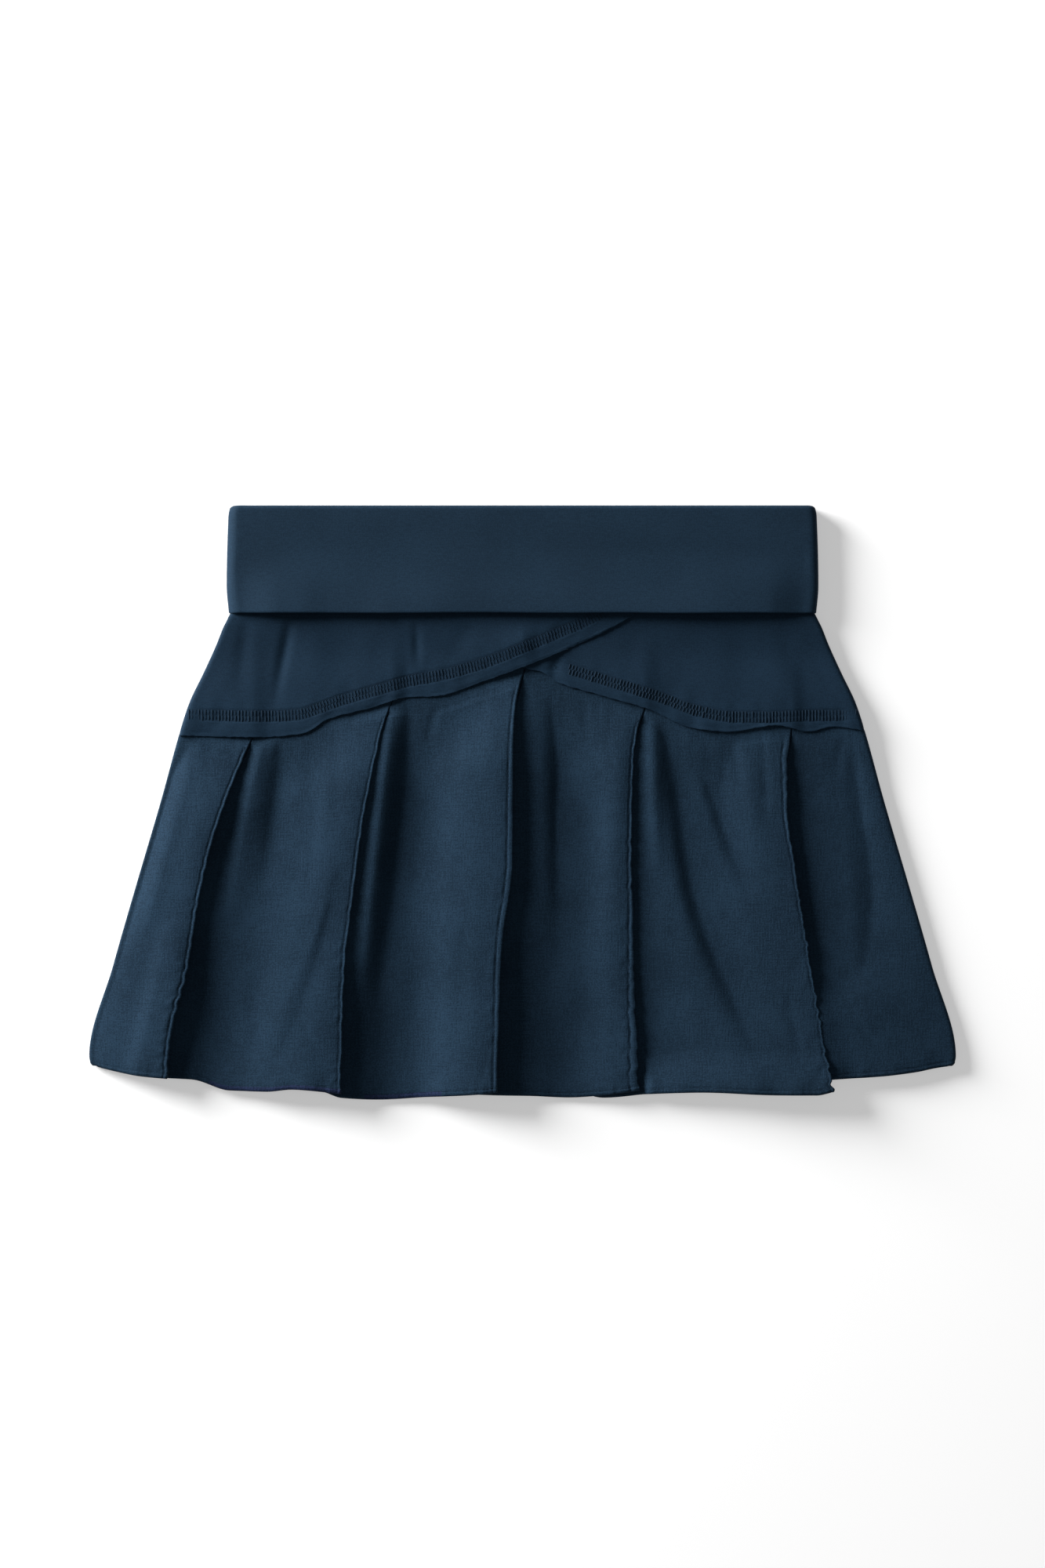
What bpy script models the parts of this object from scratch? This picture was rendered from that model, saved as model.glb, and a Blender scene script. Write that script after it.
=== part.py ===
"""A fold-over skort laid flat on its back: a wide jersey band folded down over two crossed
yokes, six pleated skirt gores in front and six behind, and plain shorts between them.

Frame: metres, +Z up from the surface that it lies on, +Y towards the waist, +X to the right
of the front as it is seen from above. Garment sizes are written in millimetres: "across" is
the distance from the centre line, and "drop" is the distance below the top fold of the band.
"""

import math
from collections import namedtuple

import bmesh
import bpy

MM = 0.001

# ---------------------------------------------------------------- driving sizes, millimetres
LENGTH = 341.1  # from the top fold to the lowest point of the hem
GAP = 0.3  # between pieces at a seam or in a lap

BAND_WALL = 1.8  # jersey, doubled
YOKE_WALL = 1.2
CLOTH_WALL = 1.0  # gores, shorts and back yoke

BAND_DROP = 62.0  # how far the band is folded down
WAIST_SEAM = 58.0  # where the yokes and shorts are sewn on, under the folded band

SEAM_TUCK = 9.0  # how far a gore runs up under the yoke
PLEAT_DEPTH = 26.0  # how far a gore runs under its neighbour at the hem
FOLD_PLY = CLOTH_WALL + GAP  # from the middle of one ply to the middle of the next
SIDE_ROUND = 2.6  # how far a side fold bulges past the panels' flat parts
SIDE_LIP = 1.2  # flat part of a front panel under the side, up to the side seam
SIDE_SEAM = 0.6  # width left open at the side seam
TUCK_INSET = 1.9  # how much narrower a gore is where the yoke goes round it
TUCK_LIFT = 1.4

# Heights of the middle of each wall above the surface, where nothing lifts it.
BACK_Z = 0.5 * CLOTH_WALL
SHORTS_BACK_Z = 3.1
SHORTS_FRONT_Z = 4.4
GORE_LOW_Z = 3.2  # a front gore outside the shorts
GORE_Z = 5.7  # a front gore lying on the shorts
YOKE_Z = 5.9
YOKE_OVER_PLEATS = 2.6  # the yoke's raw edge rides over the tops of the pleats
YOKE_OVER_YOKE = 1.7
BAND_BACK_LIFT = 2.1  # what is sewn to the band lies on its turned-down back ply
WAIST_LIFT = 0.8
BAND_OUTER_LOW, BAND_OUTER_HIGH = 0.9, 10.2
BAND_INNER_LOW, BAND_INNER_HIGH = 3.2, 6.8
BAND_DOME = 0.6
BAND_SIDE_GAP = 3 * GAP  # between the band's two plies at its side folds

# ---------------------------------------------------------------- outlines, millimetres
Half = namedtuple("Half", "drop across")
BAND_SIDE = [Half(0, 167.2), Half(2.2, 168.2), Half(6, 168.9), Half(46, 169.9), Half(62, 168.6)]
SIDE = [
    Half(56, 165.8),
    Half(63, 166.3),
    Half(66.5, 169.4),
    Half(70, 171.6),
    Half(79, 175.4),
    Half(97, 183.6),
    Half(113, 191.2),
    Half(130, 196.8),
    Half(170, 207.9),
    Half(219, 222.3),
    Half(264, 235.2),
    Half(316, 249.0),
    Half(319.5, 248.4),
    Half(321.6, 246.8),
]
SHORTS_SIDE = [Half(56, 160), Half(130, 176), Half(200, 184), Half(264, 187)]
SHORTS_INSEAM = [Half(56, 0.15), Half(222, 0.15), Half(232, 3), Half(264, 13)]
SHORTS_HEM = 264.0

Edge = namedtuple("Edge", "across drop")
LEFT_YOKE_EDGE = [
    Edge(-200, 132.1),
    Edge(-152, 133.2),
    Edge(-126, 131.1),
    Edge(-111, 122.7),
    Edge(-87, 116.4),
    Edge(-65, 110.2),
    Edge(-50, 109.6),
    Edge(-22, 101.0),
    Edge(3, 91.8),
    Edge(28, 81.5),
    Edge(57, 67.2),
    Edge(66, 61.5),
]
RIGHT_YOKE_EDGE = [
    Edge(-72, 54.0),
    Edge(-61, 64.4),
    Edge(-40, 75.0),
    Edge(-20, 86.0),
    Edge(0.7, 93.2),
    Edge(12, 95.9),
    Edge(19, 101.0),
    Edge(43, 108.5),
    Edge(73, 117.2),
    Edge(98, 128.0),
    Edge(119, 130.0),
    Edge(146, 126.3),
    Edge(164, 130.0),
    Edge(178, 127.2),
    Edge(200, 130.1),
]
YOKE_CROSSING = 0.7  # across, where the left edge passes over the right one
YOKE_TIP = 64.0  # across, where each yoke's point ends under the band
BACK_SEAM = [Edge(0, 119.0), Edge(60, 121.0), Edge(130, 128.0), Edge(200, 131.0)]

# The edge of each front pleat, from the yoke to the hem.
PLEAT_LINES = [
    [Half(132, -154.5), Half(166, -169.8), Half(197, -181.1), Half(234, -188.3), Half(307, -201.8), Half(329, -203.2)],
    [Half(112, -74.8), Half(126, -80.5), Half(151, -86.8), Half(183, -93.3), Half(261, -102.3), Half(337, -104.1)],
    [Half(93, 1.4), Half(113, -3.3), Half(138, -5.0), Half(204, -5.4), Half(254, -11.6), Half(337, -14.6)],
    [Half(117, 70.2), Half(129, 66.2), Half(154, 63.5), Half(204, 63.0), Half(254, 64.0), Half(337, 66.7)],
    [Half(129, 154.4), Half(152, 152.0), Half(175, 152.2), Half(204, 156.0), Half(266, 165.8), Half(336, 178.0)],
]

# The hem of each front gore; neighbours overlap, and the lower one shows past the upper.
FRONT_HEMS = [
    [Edge(-246, 321.6), Edge(-241, 323), Edge(-219, 327.2), Edge(-203, 328.6)],
    [Edge(-231, 326), Edge(-204, 328.6), Edge(-190, 329.4), Edge(-168, 335.8), Edge(-147, 336.2), Edge(-132, 334.8), Edge(-104, 337.2)],
    [Edge(-132, 334.3), Edge(-114, 336.6), Edge(-104, 339.8), Edge(-82, 341.1), Edge(-53, 339.3), Edge(-24, 337.4), Edge(-14, 336.2)],
    [Edge(-42, 337.5), Edge(-24, 338.2), Edge(4, 338.9), Edge(26, 339.9), Edge(48, 338.4), Edge(67, 335.6)],
    [Edge(38, 338.8), Edge(46, 340.1), Edge(76, 337.5), Edge(105, 336.6), Edge(148, 338.0), Edge(168, 338.0), Edge(178, 336.0)],
    [Edge(150, 331.5), Edge(177, 329.4), Edge(206, 327.6), Edge(227, 325.0), Edge(236, 323.1), Edge(246, 321.6)],
]
BACK_HEM = [Edge(0, 335.5), Edge(90, 335.0), Edge(150, 333.0), Edge(203, 326.5), Edge(240, 321.6)]

# How each front gore swells: heights of its crest and of its right edge half way down and at
# the hem, how wide the valley beside its left edge is, and where across it the crest lies.
Swell = namedtuple("Swell", "crest_mid crest_hem edge_mid edge_hem valley_top valley_hem crest_at")
SWELLS = [
    Swell(8.6, 9.6, 9.4, 7.0, 12, 26, 0.45),
    Swell(10.6, 12.4, 10.4, 11.0, 8, 30, 0.60),
    Swell(11.6, 13.4, 10.8, 11.6, 9, 34, 0.60),
    Swell(11.0, 12.6, 10.0, 10.0, 10, 36, 0.62),
    Swell(10.2, 11.0, 10.0, 9.4, 8, 18, 0.50),
    Swell(8.2, 8.8, 8.2, 8.8, 9, 22, 0.60),
]

# The largest soft folds: each runs through three points and fades at both ends.
Fold = namedtuple("Fold", "gore drop_top top drop_middle middle drop_foot foot spread height")
FOLDS = [
    Fold(1, 134, -142.0, 160, -144.0, 196, -149.0, 5.0, -1.7),
    Fold(1, 205, -108.0, 262, -126.0, 322, -142.0, 6.0, -0.8),
    Fold(2, 128, -78.0, 200, -87.0, 280, -92.0, 3.2, 1.5),
    Fold(2, 120, -69.0, 200, -78.0, 290, -85.0, 5.5, -2.0),
    Fold(3, 100, 8.0, 150, 10.0, 215, 13.5, 3.4, 1.2),
    Fold(3, 100, 18.0, 160, 16.5, 230, 16.5, 4.2, -1.9),
    Fold(4, 128, 79.0, 215, 93.0, 310, 134.0, 6.5, -2.6),
    Fold(4, 122, 98.0, 164, 107.0, 225, 125.0, 5.0, -1.3),
    Fold(4, 215, 108.0, 270, 135.0, 325, 150.0, 8.0, 0.8),
]

# ---------------------------------------------------------------- small helpers


def curve(rows):
    """A smooth function through rows of (position, value), with no overshoot."""
    xs = [row[0] for row in rows]
    ys = [row[1] for row in rows]
    slopes = [(b - a) / (d - c) for a, b, c, d in zip(ys, ys[1:], xs, xs[1:])]
    tangents = [slopes[0]]
    for before, after in zip(slopes, slopes[1:]):
        level = before * after <= 0
        tangents.append(0.0 if level else 2 * before * after / (before + after))
    tangents.append(slopes[-1])

    def value(x):
        if x <= xs[0]:
            return ys[0]
        if x >= xs[-1]:
            return ys[-1]
        i = max(k for k in range(len(xs) - 1) if xs[k] <= x)
        span = xs[i + 1] - xs[i]
        t = (x - xs[i]) / span
        start = (1 + 2 * t) * (1 - t) ** 2 * ys[i] + t * (1 - t) ** 2 * span * tangents[i]
        end = t * t * (3 - 2 * t) * ys[i + 1] - t * t * (1 - t) * span * tangents[i + 1]
        return start + end

    return value


def ease(low, high, x):
    """0 below low, 1 above high, and a smooth rise between."""
    t = min(1.0, max(0.0, (x - low) / (high - low)))
    return t * t * (3 - 2 * t)


def mix(a, b, share):
    return a + (b - a) * share


def steps(count):
    return [i / count for i in range(count + 1)]


band_side = curve(BAND_SIDE)
side = curve(SIDE)
shorts_side = curve(SHORTS_SIDE)
shorts_inseam = curve(SHORTS_INSEAM)
left_yoke_edge = curve(LEFT_YOKE_EDGE)
right_yoke_edge = curve(RIGHT_YOKE_EDGE)
back_seam = curve(BACK_SEAM)
back_hem = curve(BACK_HEM)
front_hems = [curve(rows) for rows in FRONT_HEMS]
pleat_lines = [curve(rows) for rows in PLEAT_LINES]


def front_seam(across):
    """Drop of the lower of the two yokes' raw edges, which is where the gores come out."""
    return left_yoke_edge(across) if across < YOKE_CROSSING else right_yoke_edge(across)


def placed(across, drop, height):
    """A point of the garment in the row frame, in metres."""
    return (across * MM, (LENGTH / 2 - drop) * MM, height * MM)


def material(name, colour, roughness):
    made = bpy.data.materials.new(name)
    made.use_nodes = True
    shader = made.node_tree.nodes["Principled BSDF"]
    shader.inputs["Base Color"].default_value = (*colour, 1)
    shader.inputs["Roughness"].default_value = roughness
    shader.inputs["Metallic"].default_value = 0.0
    return made


def cloth(name, rows, wall, finish, closed=False):
    """A cloth wall: rows of points joined into an open surface, with Solidify for its thickness.
    The rows run so that the surface faces out; with closed, each row is a ring."""
    mesh = bpy.data.meshes.new(name)
    piece = bpy.data.objects.new(name, mesh)
    garment.objects.link(piece)
    grid = bmesh.new()
    points = [[grid.verts.new(placed(*point)) for point in row] for row in rows]
    for upper, lower in zip(points, points[1:]):
        columns = range(len(upper)) if closed else range(len(upper) - 1)
        for i in columns:
            j = (i + 1) % len(upper)
            grid.faces.new((upper[i], lower[i], lower[j], upper[j]))
    grid.to_mesh(mesh)
    grid.free()
    mesh.materials.append(finish)
    mesh.shade_smooth()
    shell = piece.modifiers.new("wall", "SOLIDIFY")
    shell.thickness = wall * MM
    shell.offset = 0
    shell.use_even_offset = True
    return piece


# ---------------------------------------------------------------- the band


def band():
    """One knitted tube, folded down outside itself: its outer ply, the top fold, its inner ply."""
    round_the_side = 7
    along_front = 12

    def ring(drop, low, high, inset, dome):
        """Points round a flattened tube: over the front, down the right side, back under."""
        radius = (high - low) / 2
        middle = (high + low) / 2
        half = band_side(drop) - BAND_WALL / 2 - inset
        straight = half - radius
        points = []
        for share in steps(along_front)[:-1]:
            across = mix(-straight, straight, share)
            points.append((across, drop, high + dome * (1 - (across / half) ** 6)))
        for share in steps(round_the_side)[:-1]:
            turn = math.pi * (0.5 - share)
            points.append((straight + radius * math.cos(turn), drop, middle + radius * math.sin(turn)))
        for share in steps(along_front)[:-1]:
            points.append((mix(straight, -straight, share), drop, low))
        for share in steps(round_the_side)[:-1]:
            turn = math.pi * (-0.5 - share)
            points.append((-straight + radius * math.cos(turn), drop, middle + radius * math.sin(turn)))
        return points

    fold_round = (BAND_OUTER_HIGH - BAND_OUTER_LOW - BAND_INNER_HIGH + BAND_INNER_LOW) / 4
    top = BAND_WALL / 2 + fold_round
    inner_inset = BAND_WALL + BAND_SIDE_GAP
    rows = []
    for share in steps(7):
        drop = mix(BAND_DROP, top, share)
        dome = BAND_DOME * math.sin(math.pi * min(1.0, drop / BAND_DROP))
        rows.append(ring(drop, BAND_OUTER_LOW, BAND_OUTER_HIGH, 0, dome))
    for share in steps(6)[1:-1]:
        inward = (1 - math.cos(math.pi * share)) / 2
        low = mix(BAND_OUTER_LOW, BAND_INNER_LOW, inward)
        high = mix(BAND_OUTER_HIGH, BAND_INNER_HIGH, inward)
        drop = top - fold_round * math.sin(math.pi * share)
        rows.append(ring(drop, low, high, inner_inset * inward, 0))
    for share in steps(3):
        drop = mix(top, WAIST_SEAM - GAP, share)
        rows.append(ring(drop, BAND_INNER_LOW, BAND_INNER_HIGH, inner_inset, 0))
    rows.reverse()
    return cloth("waistband", rows, BAND_WALL, jersey, closed=True)


# ---------------------------------------------------------------- the side fold


def flat_half(drop, inset=0.0):
    """Where the flat part of a panel ends and its side fold begins."""
    return side(drop) - CLOTH_WALL / 2 - SIDE_ROUND - inset


def back_half(drop, inset=0.0):
    """Where a back panel ends, at the side seam under the side fold."""
    return flat_half(drop, inset) - SIDE_LIP - SIDE_SEAM


def rolled_side(drop, sign, low_z, high_z, inset=0.0):
    """The rolled edge of a front panel, from under the side round to the top, as (across, z)."""
    centre = flat_half(drop, inset)
    radius = (high_z - low_z) / 2
    points = [(sign * (centre - SIDE_LIP), low_z)]
    for share in steps(4):
        turn = math.pi * (share - 0.5)
        points.append((sign * (centre + SIDE_ROUND * math.cos(turn)), low_z + radius * (1 + math.sin(turn))))
    return points


def at_waist(drop):
    """1 at the waist seam, where layers lie on the band's back ply, and 0 well below it."""
    return 1 - ease(63.5, 95, drop)


def floor_z(drop):
    return BACK_Z + BAND_BACK_LIFT * at_waist(drop)


# ---------------------------------------------------------------- yokes


YOKE_ROWS = [0, 0.07, 0.12, 0.18, 0.3, 0.5, 0.7, 0.85, 1]


def yoke_z(across, drop, over):
    """Middle of a front yoke's wall; over is how much of the other yoke lies under it."""
    near_edge = ease(66, front_seam(across) - 13, drop)
    return YOKE_Z + WAIST_LIFT * at_waist(drop) + YOKE_OVER_PLEATS * near_edge + YOKE_OVER_YOKE * over


def left_over_right(across, drop):
    hidden_edge = right_yoke_edge(across)
    return (1 - ease(hidden_edge + 4, hidden_edge + 14, drop)) * ease(-YOKE_TIP - 14, -YOKE_TIP - 4, across)


def front_yoke(name, sign, edge, lies_over):
    """sign is -1 for the yoke on the left of the front view and 1 for the one on the right."""
    rows = []
    foot = edge(sign * side(130))
    thicker = (YOKE_WALL - CLOTH_WALL) / 2
    for v in YOKE_ROWS:
        at_side = mix(WAIST_SEAM, foot, v)
        seam_z = yoke_z(sign * side(at_side), at_side, 0)
        roll = rolled_side(at_side, sign, floor_z(at_side) + thicker, seam_z, thicker)
        points = [(x, at_side, z) for x, z in roll[:-1]]
        for u in steps(32):
            across = mix(roll[-1][0], -sign * YOKE_TIP, u)
            drop = mix(WAIST_SEAM, edge(mix(sign * flat_half(foot), -sign * YOKE_TIP, u)), v)
            points.append((across, drop, yoke_z(across, drop, lies_over(across, drop))))
        rows.append(points if sign < 0 else points[::-1])
    return cloth(name, rows, YOKE_WALL, jersey)


def back_yoke():
    rows = []
    for v in YOKE_ROWS:
        half = back_half(mix(WAIST_SEAM, back_seam(200), v))
        row = []
        for u in steps(16):
            foot_across = mix(back_half(back_seam(200)), -back_half(back_seam(200)), u)
            drop = mix(WAIST_SEAM, back_seam(abs(foot_across)), v)
            row.append((mix(half, -half, u), drop, floor_z(drop)))
        rows.append(row)
    return cloth("back_yoke", rows, CLOTH_WALL, jersey)


# ---------------------------------------------------------------- gores

ROW_SHARES = [0, 0.025, 0.05, 0.078, 0.11, 0.17, 0.25, 0.34, 0.44, 0.54, 0.64, 0.74, 0.84, 0.92, 0.972, 1]
BACK_ROW_SHARES = [0, 0.05, 0.078, 0.11, 0.2, 0.4, 0.6, 0.8, 0.93, 1]
GORE_LENGTH = 215.0  # from a gore's top to its hem, on average
LIFT_START, LIFT_END = 10.0, 17.0  # below its top, where a pleat opens out from under the yoke


def over_shorts(across, drop):
    edge = shorts_side(drop)
    return (1 - ease(edge + 2, edge + 28, abs(across))) * (1 - ease(SHORTS_HEM + 2, SHORTS_HEM + 52, drop))


def gore_floor(across, drop):
    return mix(GORE_LOW_Z, GORE_Z, over_shorts(across, drop))


def fold_height(gore, across, drop):
    """What the soft folds of a gore add at a point."""
    total = 0.0
    for fold in FOLDS:
        if fold.gore != gore or not fold.drop_top < drop < fold.drop_foot:
            continue
        line = curve([(fold.drop_top, fold.top), (fold.drop_middle, fold.middle), (fold.drop_foot, fold.foot)])
        share = (drop - fold.drop_top) / (fold.drop_foot - fold.drop_top)
        fade = math.sin(math.pi * share ** 0.8) ** 0.8
        total += fold.height * fade * math.exp(-(((across - line(drop)) / fold.spread) ** 2))
    return total


def line_at(line, gore, v):
    """(across, drop) of a pleat line, v of the way down a gore that it bounds."""
    rows = PLEAT_LINES[line]
    top = front_seam(rows[0].across) - SEAM_TUCK
    foot = front_hems[gore](rows[-1].across)
    drop = mix(top, foot, v)
    return pleat_lines[line](drop), drop


def gore_side(v, sign, hem):
    """(drop, inset, low z, high z) of the side fold of the first or last gore."""
    drop = mix(front_seam(sign * side(130)) - SEAM_TUCK, hem(sign * side(330)), v)
    tucked = 1 - ease(LIFT_START, LIFT_END, v * GORE_LENGTH)
    high_z = BACK_Z + 2 * SIDE_ROUND
    return drop, TUCK_INSET * tucked, BACK_Z + TUCK_LIFT * tucked, high_z


def front_gore(gore):
    """One gore, from the seam hidden under its left neighbour to its own folded right edge and
    back under it. The first starts, and the last ends, at a rolled side."""
    swell = SWELLS[gore]
    hem = front_hems[gore]
    first, last = gore == 0, gore == len(SWELLS) - 1

    def spread(v):
        """How far the pleat has opened out at its left, v of the way down."""
        return ease(LIFT_END, GORE_LENGTH, v * GORE_LENGTH) ** 0.75 * PLEAT_DEPTH

    def span(v):
        """The left end and right edge of the gore's upper ply, and its pleat line's place."""
        if first:
            drop, inset, _, _ = gore_side(v, -1, hem)
            left = edge = -flat_half(drop, inset)
        else:
            edge = line_at(gore - 1, gore, v)[0]
            left = edge + 0.4 - spread(v)
        if last:
            drop, inset, _, _ = gore_side(v, 1, hem)
            right = flat_half(drop, inset)
        else:
            right = line_at(gore, gore, v)[0]
        return left, right, edge

    rows = []
    for v in ROW_SHARES:
        below_top = v * GORE_LENGTH
        lift = ease(LIFT_START, LIFT_END, below_top)
        lower_half = ease(0.5, 1, v)
        crest = mix(GORE_Z + 0.5, swell.crest_mid, ease(0, 0.5, v))
        crest += (swell.crest_hem - swell.crest_mid) * lower_half
        edge_z = mix(GORE_Z + FOLD_PLY * (1 + lift), swell.edge_mid, ease(0.06, 0.5, v))
        edge_z += (swell.edge_hem - swell.edge_mid) * lower_half
        valley = mix(swell.valley_top, swell.valley_hem, v)
        left, right, left_edge = span(v)
        top_left, top_right, _ = span(0)
        hem_left, hem_right, _ = span(1)
        crest_x = mix(left_edge, right, swell.crest_at)
        side_z = BACK_Z + 2 * SIDE_ROUND

        def drop_at(across):
            share = (across - left) / (right - left)
            top = front_seam(mix(top_left, top_right, share)) - SEAM_TUCK
            return mix(top, hem(mix(hem_left, hem_right, share)), v)

        def height(across, drop):
            ground = gore_floor(across, drop)
            rise = ease(left_edge + (0 if first else 2.5), left_edge + 2.5 + valley, across)
            end_z = side_z if last else edge_z
            fall = ease(crest_x, right, across)
            z = mix(side_z if first else ground, crest, rise) + (end_z - crest) * fall * rise
            return max(z + fold_height(gore, across, drop) * ease(12, 30, below_top), ground)

        section = []
        if first:
            drop, inset, low_z, high_z = gore_side(v, -1, hem)
            section += [(x, drop, z) for x, z in rolled_side(drop, -1, low_z, high_z, inset)[:-1]]
        for u in steps(15):
            across = mix(left, right if last else right - 3.4, u)
            drop = drop_at(across)
            section.append((across, drop, height(across, drop)))
        if last:
            drop, inset, low_z, high_z = gore_side(v, 1, hem)
            section += [(x, drop, z) for x, z in rolled_side(drop, 1, low_z, high_z, inset)[-2::-1]]
        else:
            end = right - max(4.0, spread(v))
            end_z = gore_floor(end, drop_at(end)) + FOLD_PLY * lift
            under = edge_z - FOLD_PLY
            turn = [(right - 2.0, edge_z + 0.25), (right - 1.15, edge_z), (right - 0.5, edge_z - FOLD_PLY / 2)]
            for share in (0, 0.35, 0.7, 1):
                turn.append((mix(right - 1.15, end, share), mix(under, end_z, ease(0, 1, share))))
            section += [(x, drop_at(x), z) for x, z in turn]
        rows.append(section)
    return cloth(f"front_gore_{gore + 1}", rows, CLOTH_WALL, voile)


def back_gore(gore):
    """A flat gore of the back, lapped over its neighbour inside the garment. It is worked out
    as it would lie in front and then turned over, so that it is sewn to the same hem."""
    first, last = gore == 0, gore == len(SWELLS) - 1
    rows = []
    for v in BACK_ROW_SHARES:
        below_top = v * GORE_LENGTH
        tucked = 1 - ease(LIFT_START, LIFT_END, below_top)
        lap = PLEAT_DEPTH / 2 * ease(LIFT_END, GORE_LENGTH, below_top) ** 0.75
        at_side = mix(back_seam(200) - SEAM_TUCK, back_hem(250), v)
        half = back_half(at_side, TUCK_INSET * tucked)
        line_drop = mix(110, 335, v)
        edge = -half if first else pleat_lines[gore - 1](line_drop) + GAP
        end = half if last else pleat_lines[gore](line_drop)
        marks = [edge] if first else [edge - lap, edge + 0.8, edge + 3.5, edge + 6]
        body = marks[-1]
        marks += [mix(body, end, u) for u in steps(4)[1:]]
        row = []
        for across in marks:
            lapped = 0 if first else 1 - ease(edge + 0.8, edge + 6, across)
            drop = mix(back_seam(abs(across)) - SEAM_TUCK, back_hem(abs(across)), v)
            if abs(across) > half - 12:
                drop = mix(drop, at_side, ease(half - 12, half, abs(across)))
            row.append((-across, drop, BACK_Z + FOLD_PLY * max(tucked, lapped)))
        rows.append(row)
    return cloth(f"back_gore_{gore + 1}", rows, CLOTH_WALL, voile)


# ---------------------------------------------------------------- shorts


def shorts_panel(name, sign, z, faces_up):
    """One of the four plain panels of the shorts, from the waist seam to the leg."""
    rows = []
    for drop in (WAIST_SEAM + GAP, 64, 72, 80, 88, 96, 150, 222, 232, SHORTS_HEM):
        lift = WAIST_LIFT * at_waist(drop)
        row = [(sign * mix(shorts_inseam(drop), shorts_side(drop), u), drop, z + lift) for u in steps(3)]
        upwards = (sign > 0) == faces_up
        rows.append(row if upwards else row[::-1])
    return cloth(name, rows, CLOTH_WALL, shorts_jersey)


# ---------------------------------------------------------------- the garment

for stale in list(bpy.data.objects):
    bpy.data.objects.remove(stale)

garment = bpy.data.collections.new("skort")
bpy.context.scene.collection.children.link(garment)

jersey = material("navy jersey", (0.013, 0.032, 0.058), 0.85)
voile = material("navy voile", (0.015, 0.036, 0.062), 0.8)
shorts_jersey = material("navy shorts jersey", (0.012, 0.028, 0.050), 0.85)

band()
front_yoke("front_yoke_right", 1, right_yoke_edge, lambda across, drop: 0)
front_yoke("front_yoke_left", -1, left_yoke_edge, left_over_right)
back_yoke()
for number in range(len(SWELLS)):
    front_gore(number)
    back_gore(number)
for side_name, side_sign in (("left", -1), ("right", 1)):
    shorts_panel(f"shorts_front_{side_name}", side_sign, SHORTS_FRONT_Z, True)
    shorts_panel(f"shorts_back_{side_name}", side_sign, SHORTS_BACK_Z, False)
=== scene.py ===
# %% [markdown]
# # A fold-over skort, laid flat
#
# The real garment is a navy skort: a wide jersey band that is folded down over itself, two
# crossed yokes with raw edges, six gores of thin crinkled voile with a stitched pleat between
# each two, and plain shorts inside. It lies on its back on a pale floor and is seen from
# straight above.
#
# The frame already holds the stiff, plain panels. This lesson lays a fine cloth over each of
# them, gives it creases, beads and stitches, and then its colour and weave. The first cell
# loads the frame and keeps its panels.

# %% Load the frame
import math
from collections import namedtuple

import bpy
import numpy as np
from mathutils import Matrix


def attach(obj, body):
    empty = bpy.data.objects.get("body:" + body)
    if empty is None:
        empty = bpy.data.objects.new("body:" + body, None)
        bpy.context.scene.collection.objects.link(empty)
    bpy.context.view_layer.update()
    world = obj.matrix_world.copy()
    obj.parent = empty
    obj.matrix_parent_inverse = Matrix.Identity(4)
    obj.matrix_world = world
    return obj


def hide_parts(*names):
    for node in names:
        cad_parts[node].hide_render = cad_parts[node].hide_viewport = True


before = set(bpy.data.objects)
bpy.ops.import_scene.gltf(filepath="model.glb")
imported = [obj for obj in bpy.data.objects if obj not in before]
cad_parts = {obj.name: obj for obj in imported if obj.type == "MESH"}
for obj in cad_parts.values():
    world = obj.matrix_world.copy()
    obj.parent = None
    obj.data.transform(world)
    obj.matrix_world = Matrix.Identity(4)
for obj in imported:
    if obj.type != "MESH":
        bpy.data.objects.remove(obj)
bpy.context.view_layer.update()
print("panels in the frame:", len(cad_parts))

# %% [markdown]
# ## The garment's own sizes
#
# A maker works in millimetres from two lines: how far a point is across from the centre, and
# how far it drops below the top fold. The same tables gave the panels of the frame, so each
# fine cloth lands on its panel without fitting. They could be read off the panels' meshes, but
# a table that says "the pleat runs here" is easier to change than a cloud of points.

# %% Sizes, in millimetres
MM = 0.001
LENGTH = 341.1

BAND_WALL = 1.7
YOKE_WALL = 0.9
VOILE_WALL = 0.5
HEM_WALL = 1.0
SHORTS_WALL = 0.7

BAND_DROP = 62.0
WAIST_SEAM = 58.0
SEAM_TUCK = 9.0
PLEAT_DEPTH = 26.0
FOLD_PLY = 1.2
SIDE_ROUND = 2.6
SIDE_LIP = 1.2
SIDE_SEAM = 0.6
TUCK_INSET = 1.9
TUCK_LIFT = 1.4
WALL_IN_FRAME = 1.0

BACK_Z = 0.3
SHORTS_BACK_Z = 3.1
SHORTS_FRONT_Z = 4.4
GORE_LOW_Z = 2.3
GORE_Z = 5.2
GORE_SEAT_Z = 6.3
YOKE_Z = 5.9
YOKE_OVER_PLEATS = 2.6
YOKE_OVER_YOKE = 1.2
YOKE_UNDER_BAND = 1.4
BAND_BACK_LIFT = 2.1
WAIST_LIFT = 0.8
BAND_OUTER_LOW, BAND_OUTER_HIGH = 0.9, 10.2
BAND_INNER_LOW, BAND_INNER_HIGH = 3.2, 6.8
BAND_BULGE = 3.0
BAND_SIDE_GAP = 1.8
SHORTS_HEM = 264.0
GORE_LENGTH = 215.0
LIFT_START, LIFT_END = 10.0, 17.0
print("walls from", VOILE_WALL, "to", BAND_WALL, "mm; the band covers", BAND_DROP, "mm")

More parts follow.
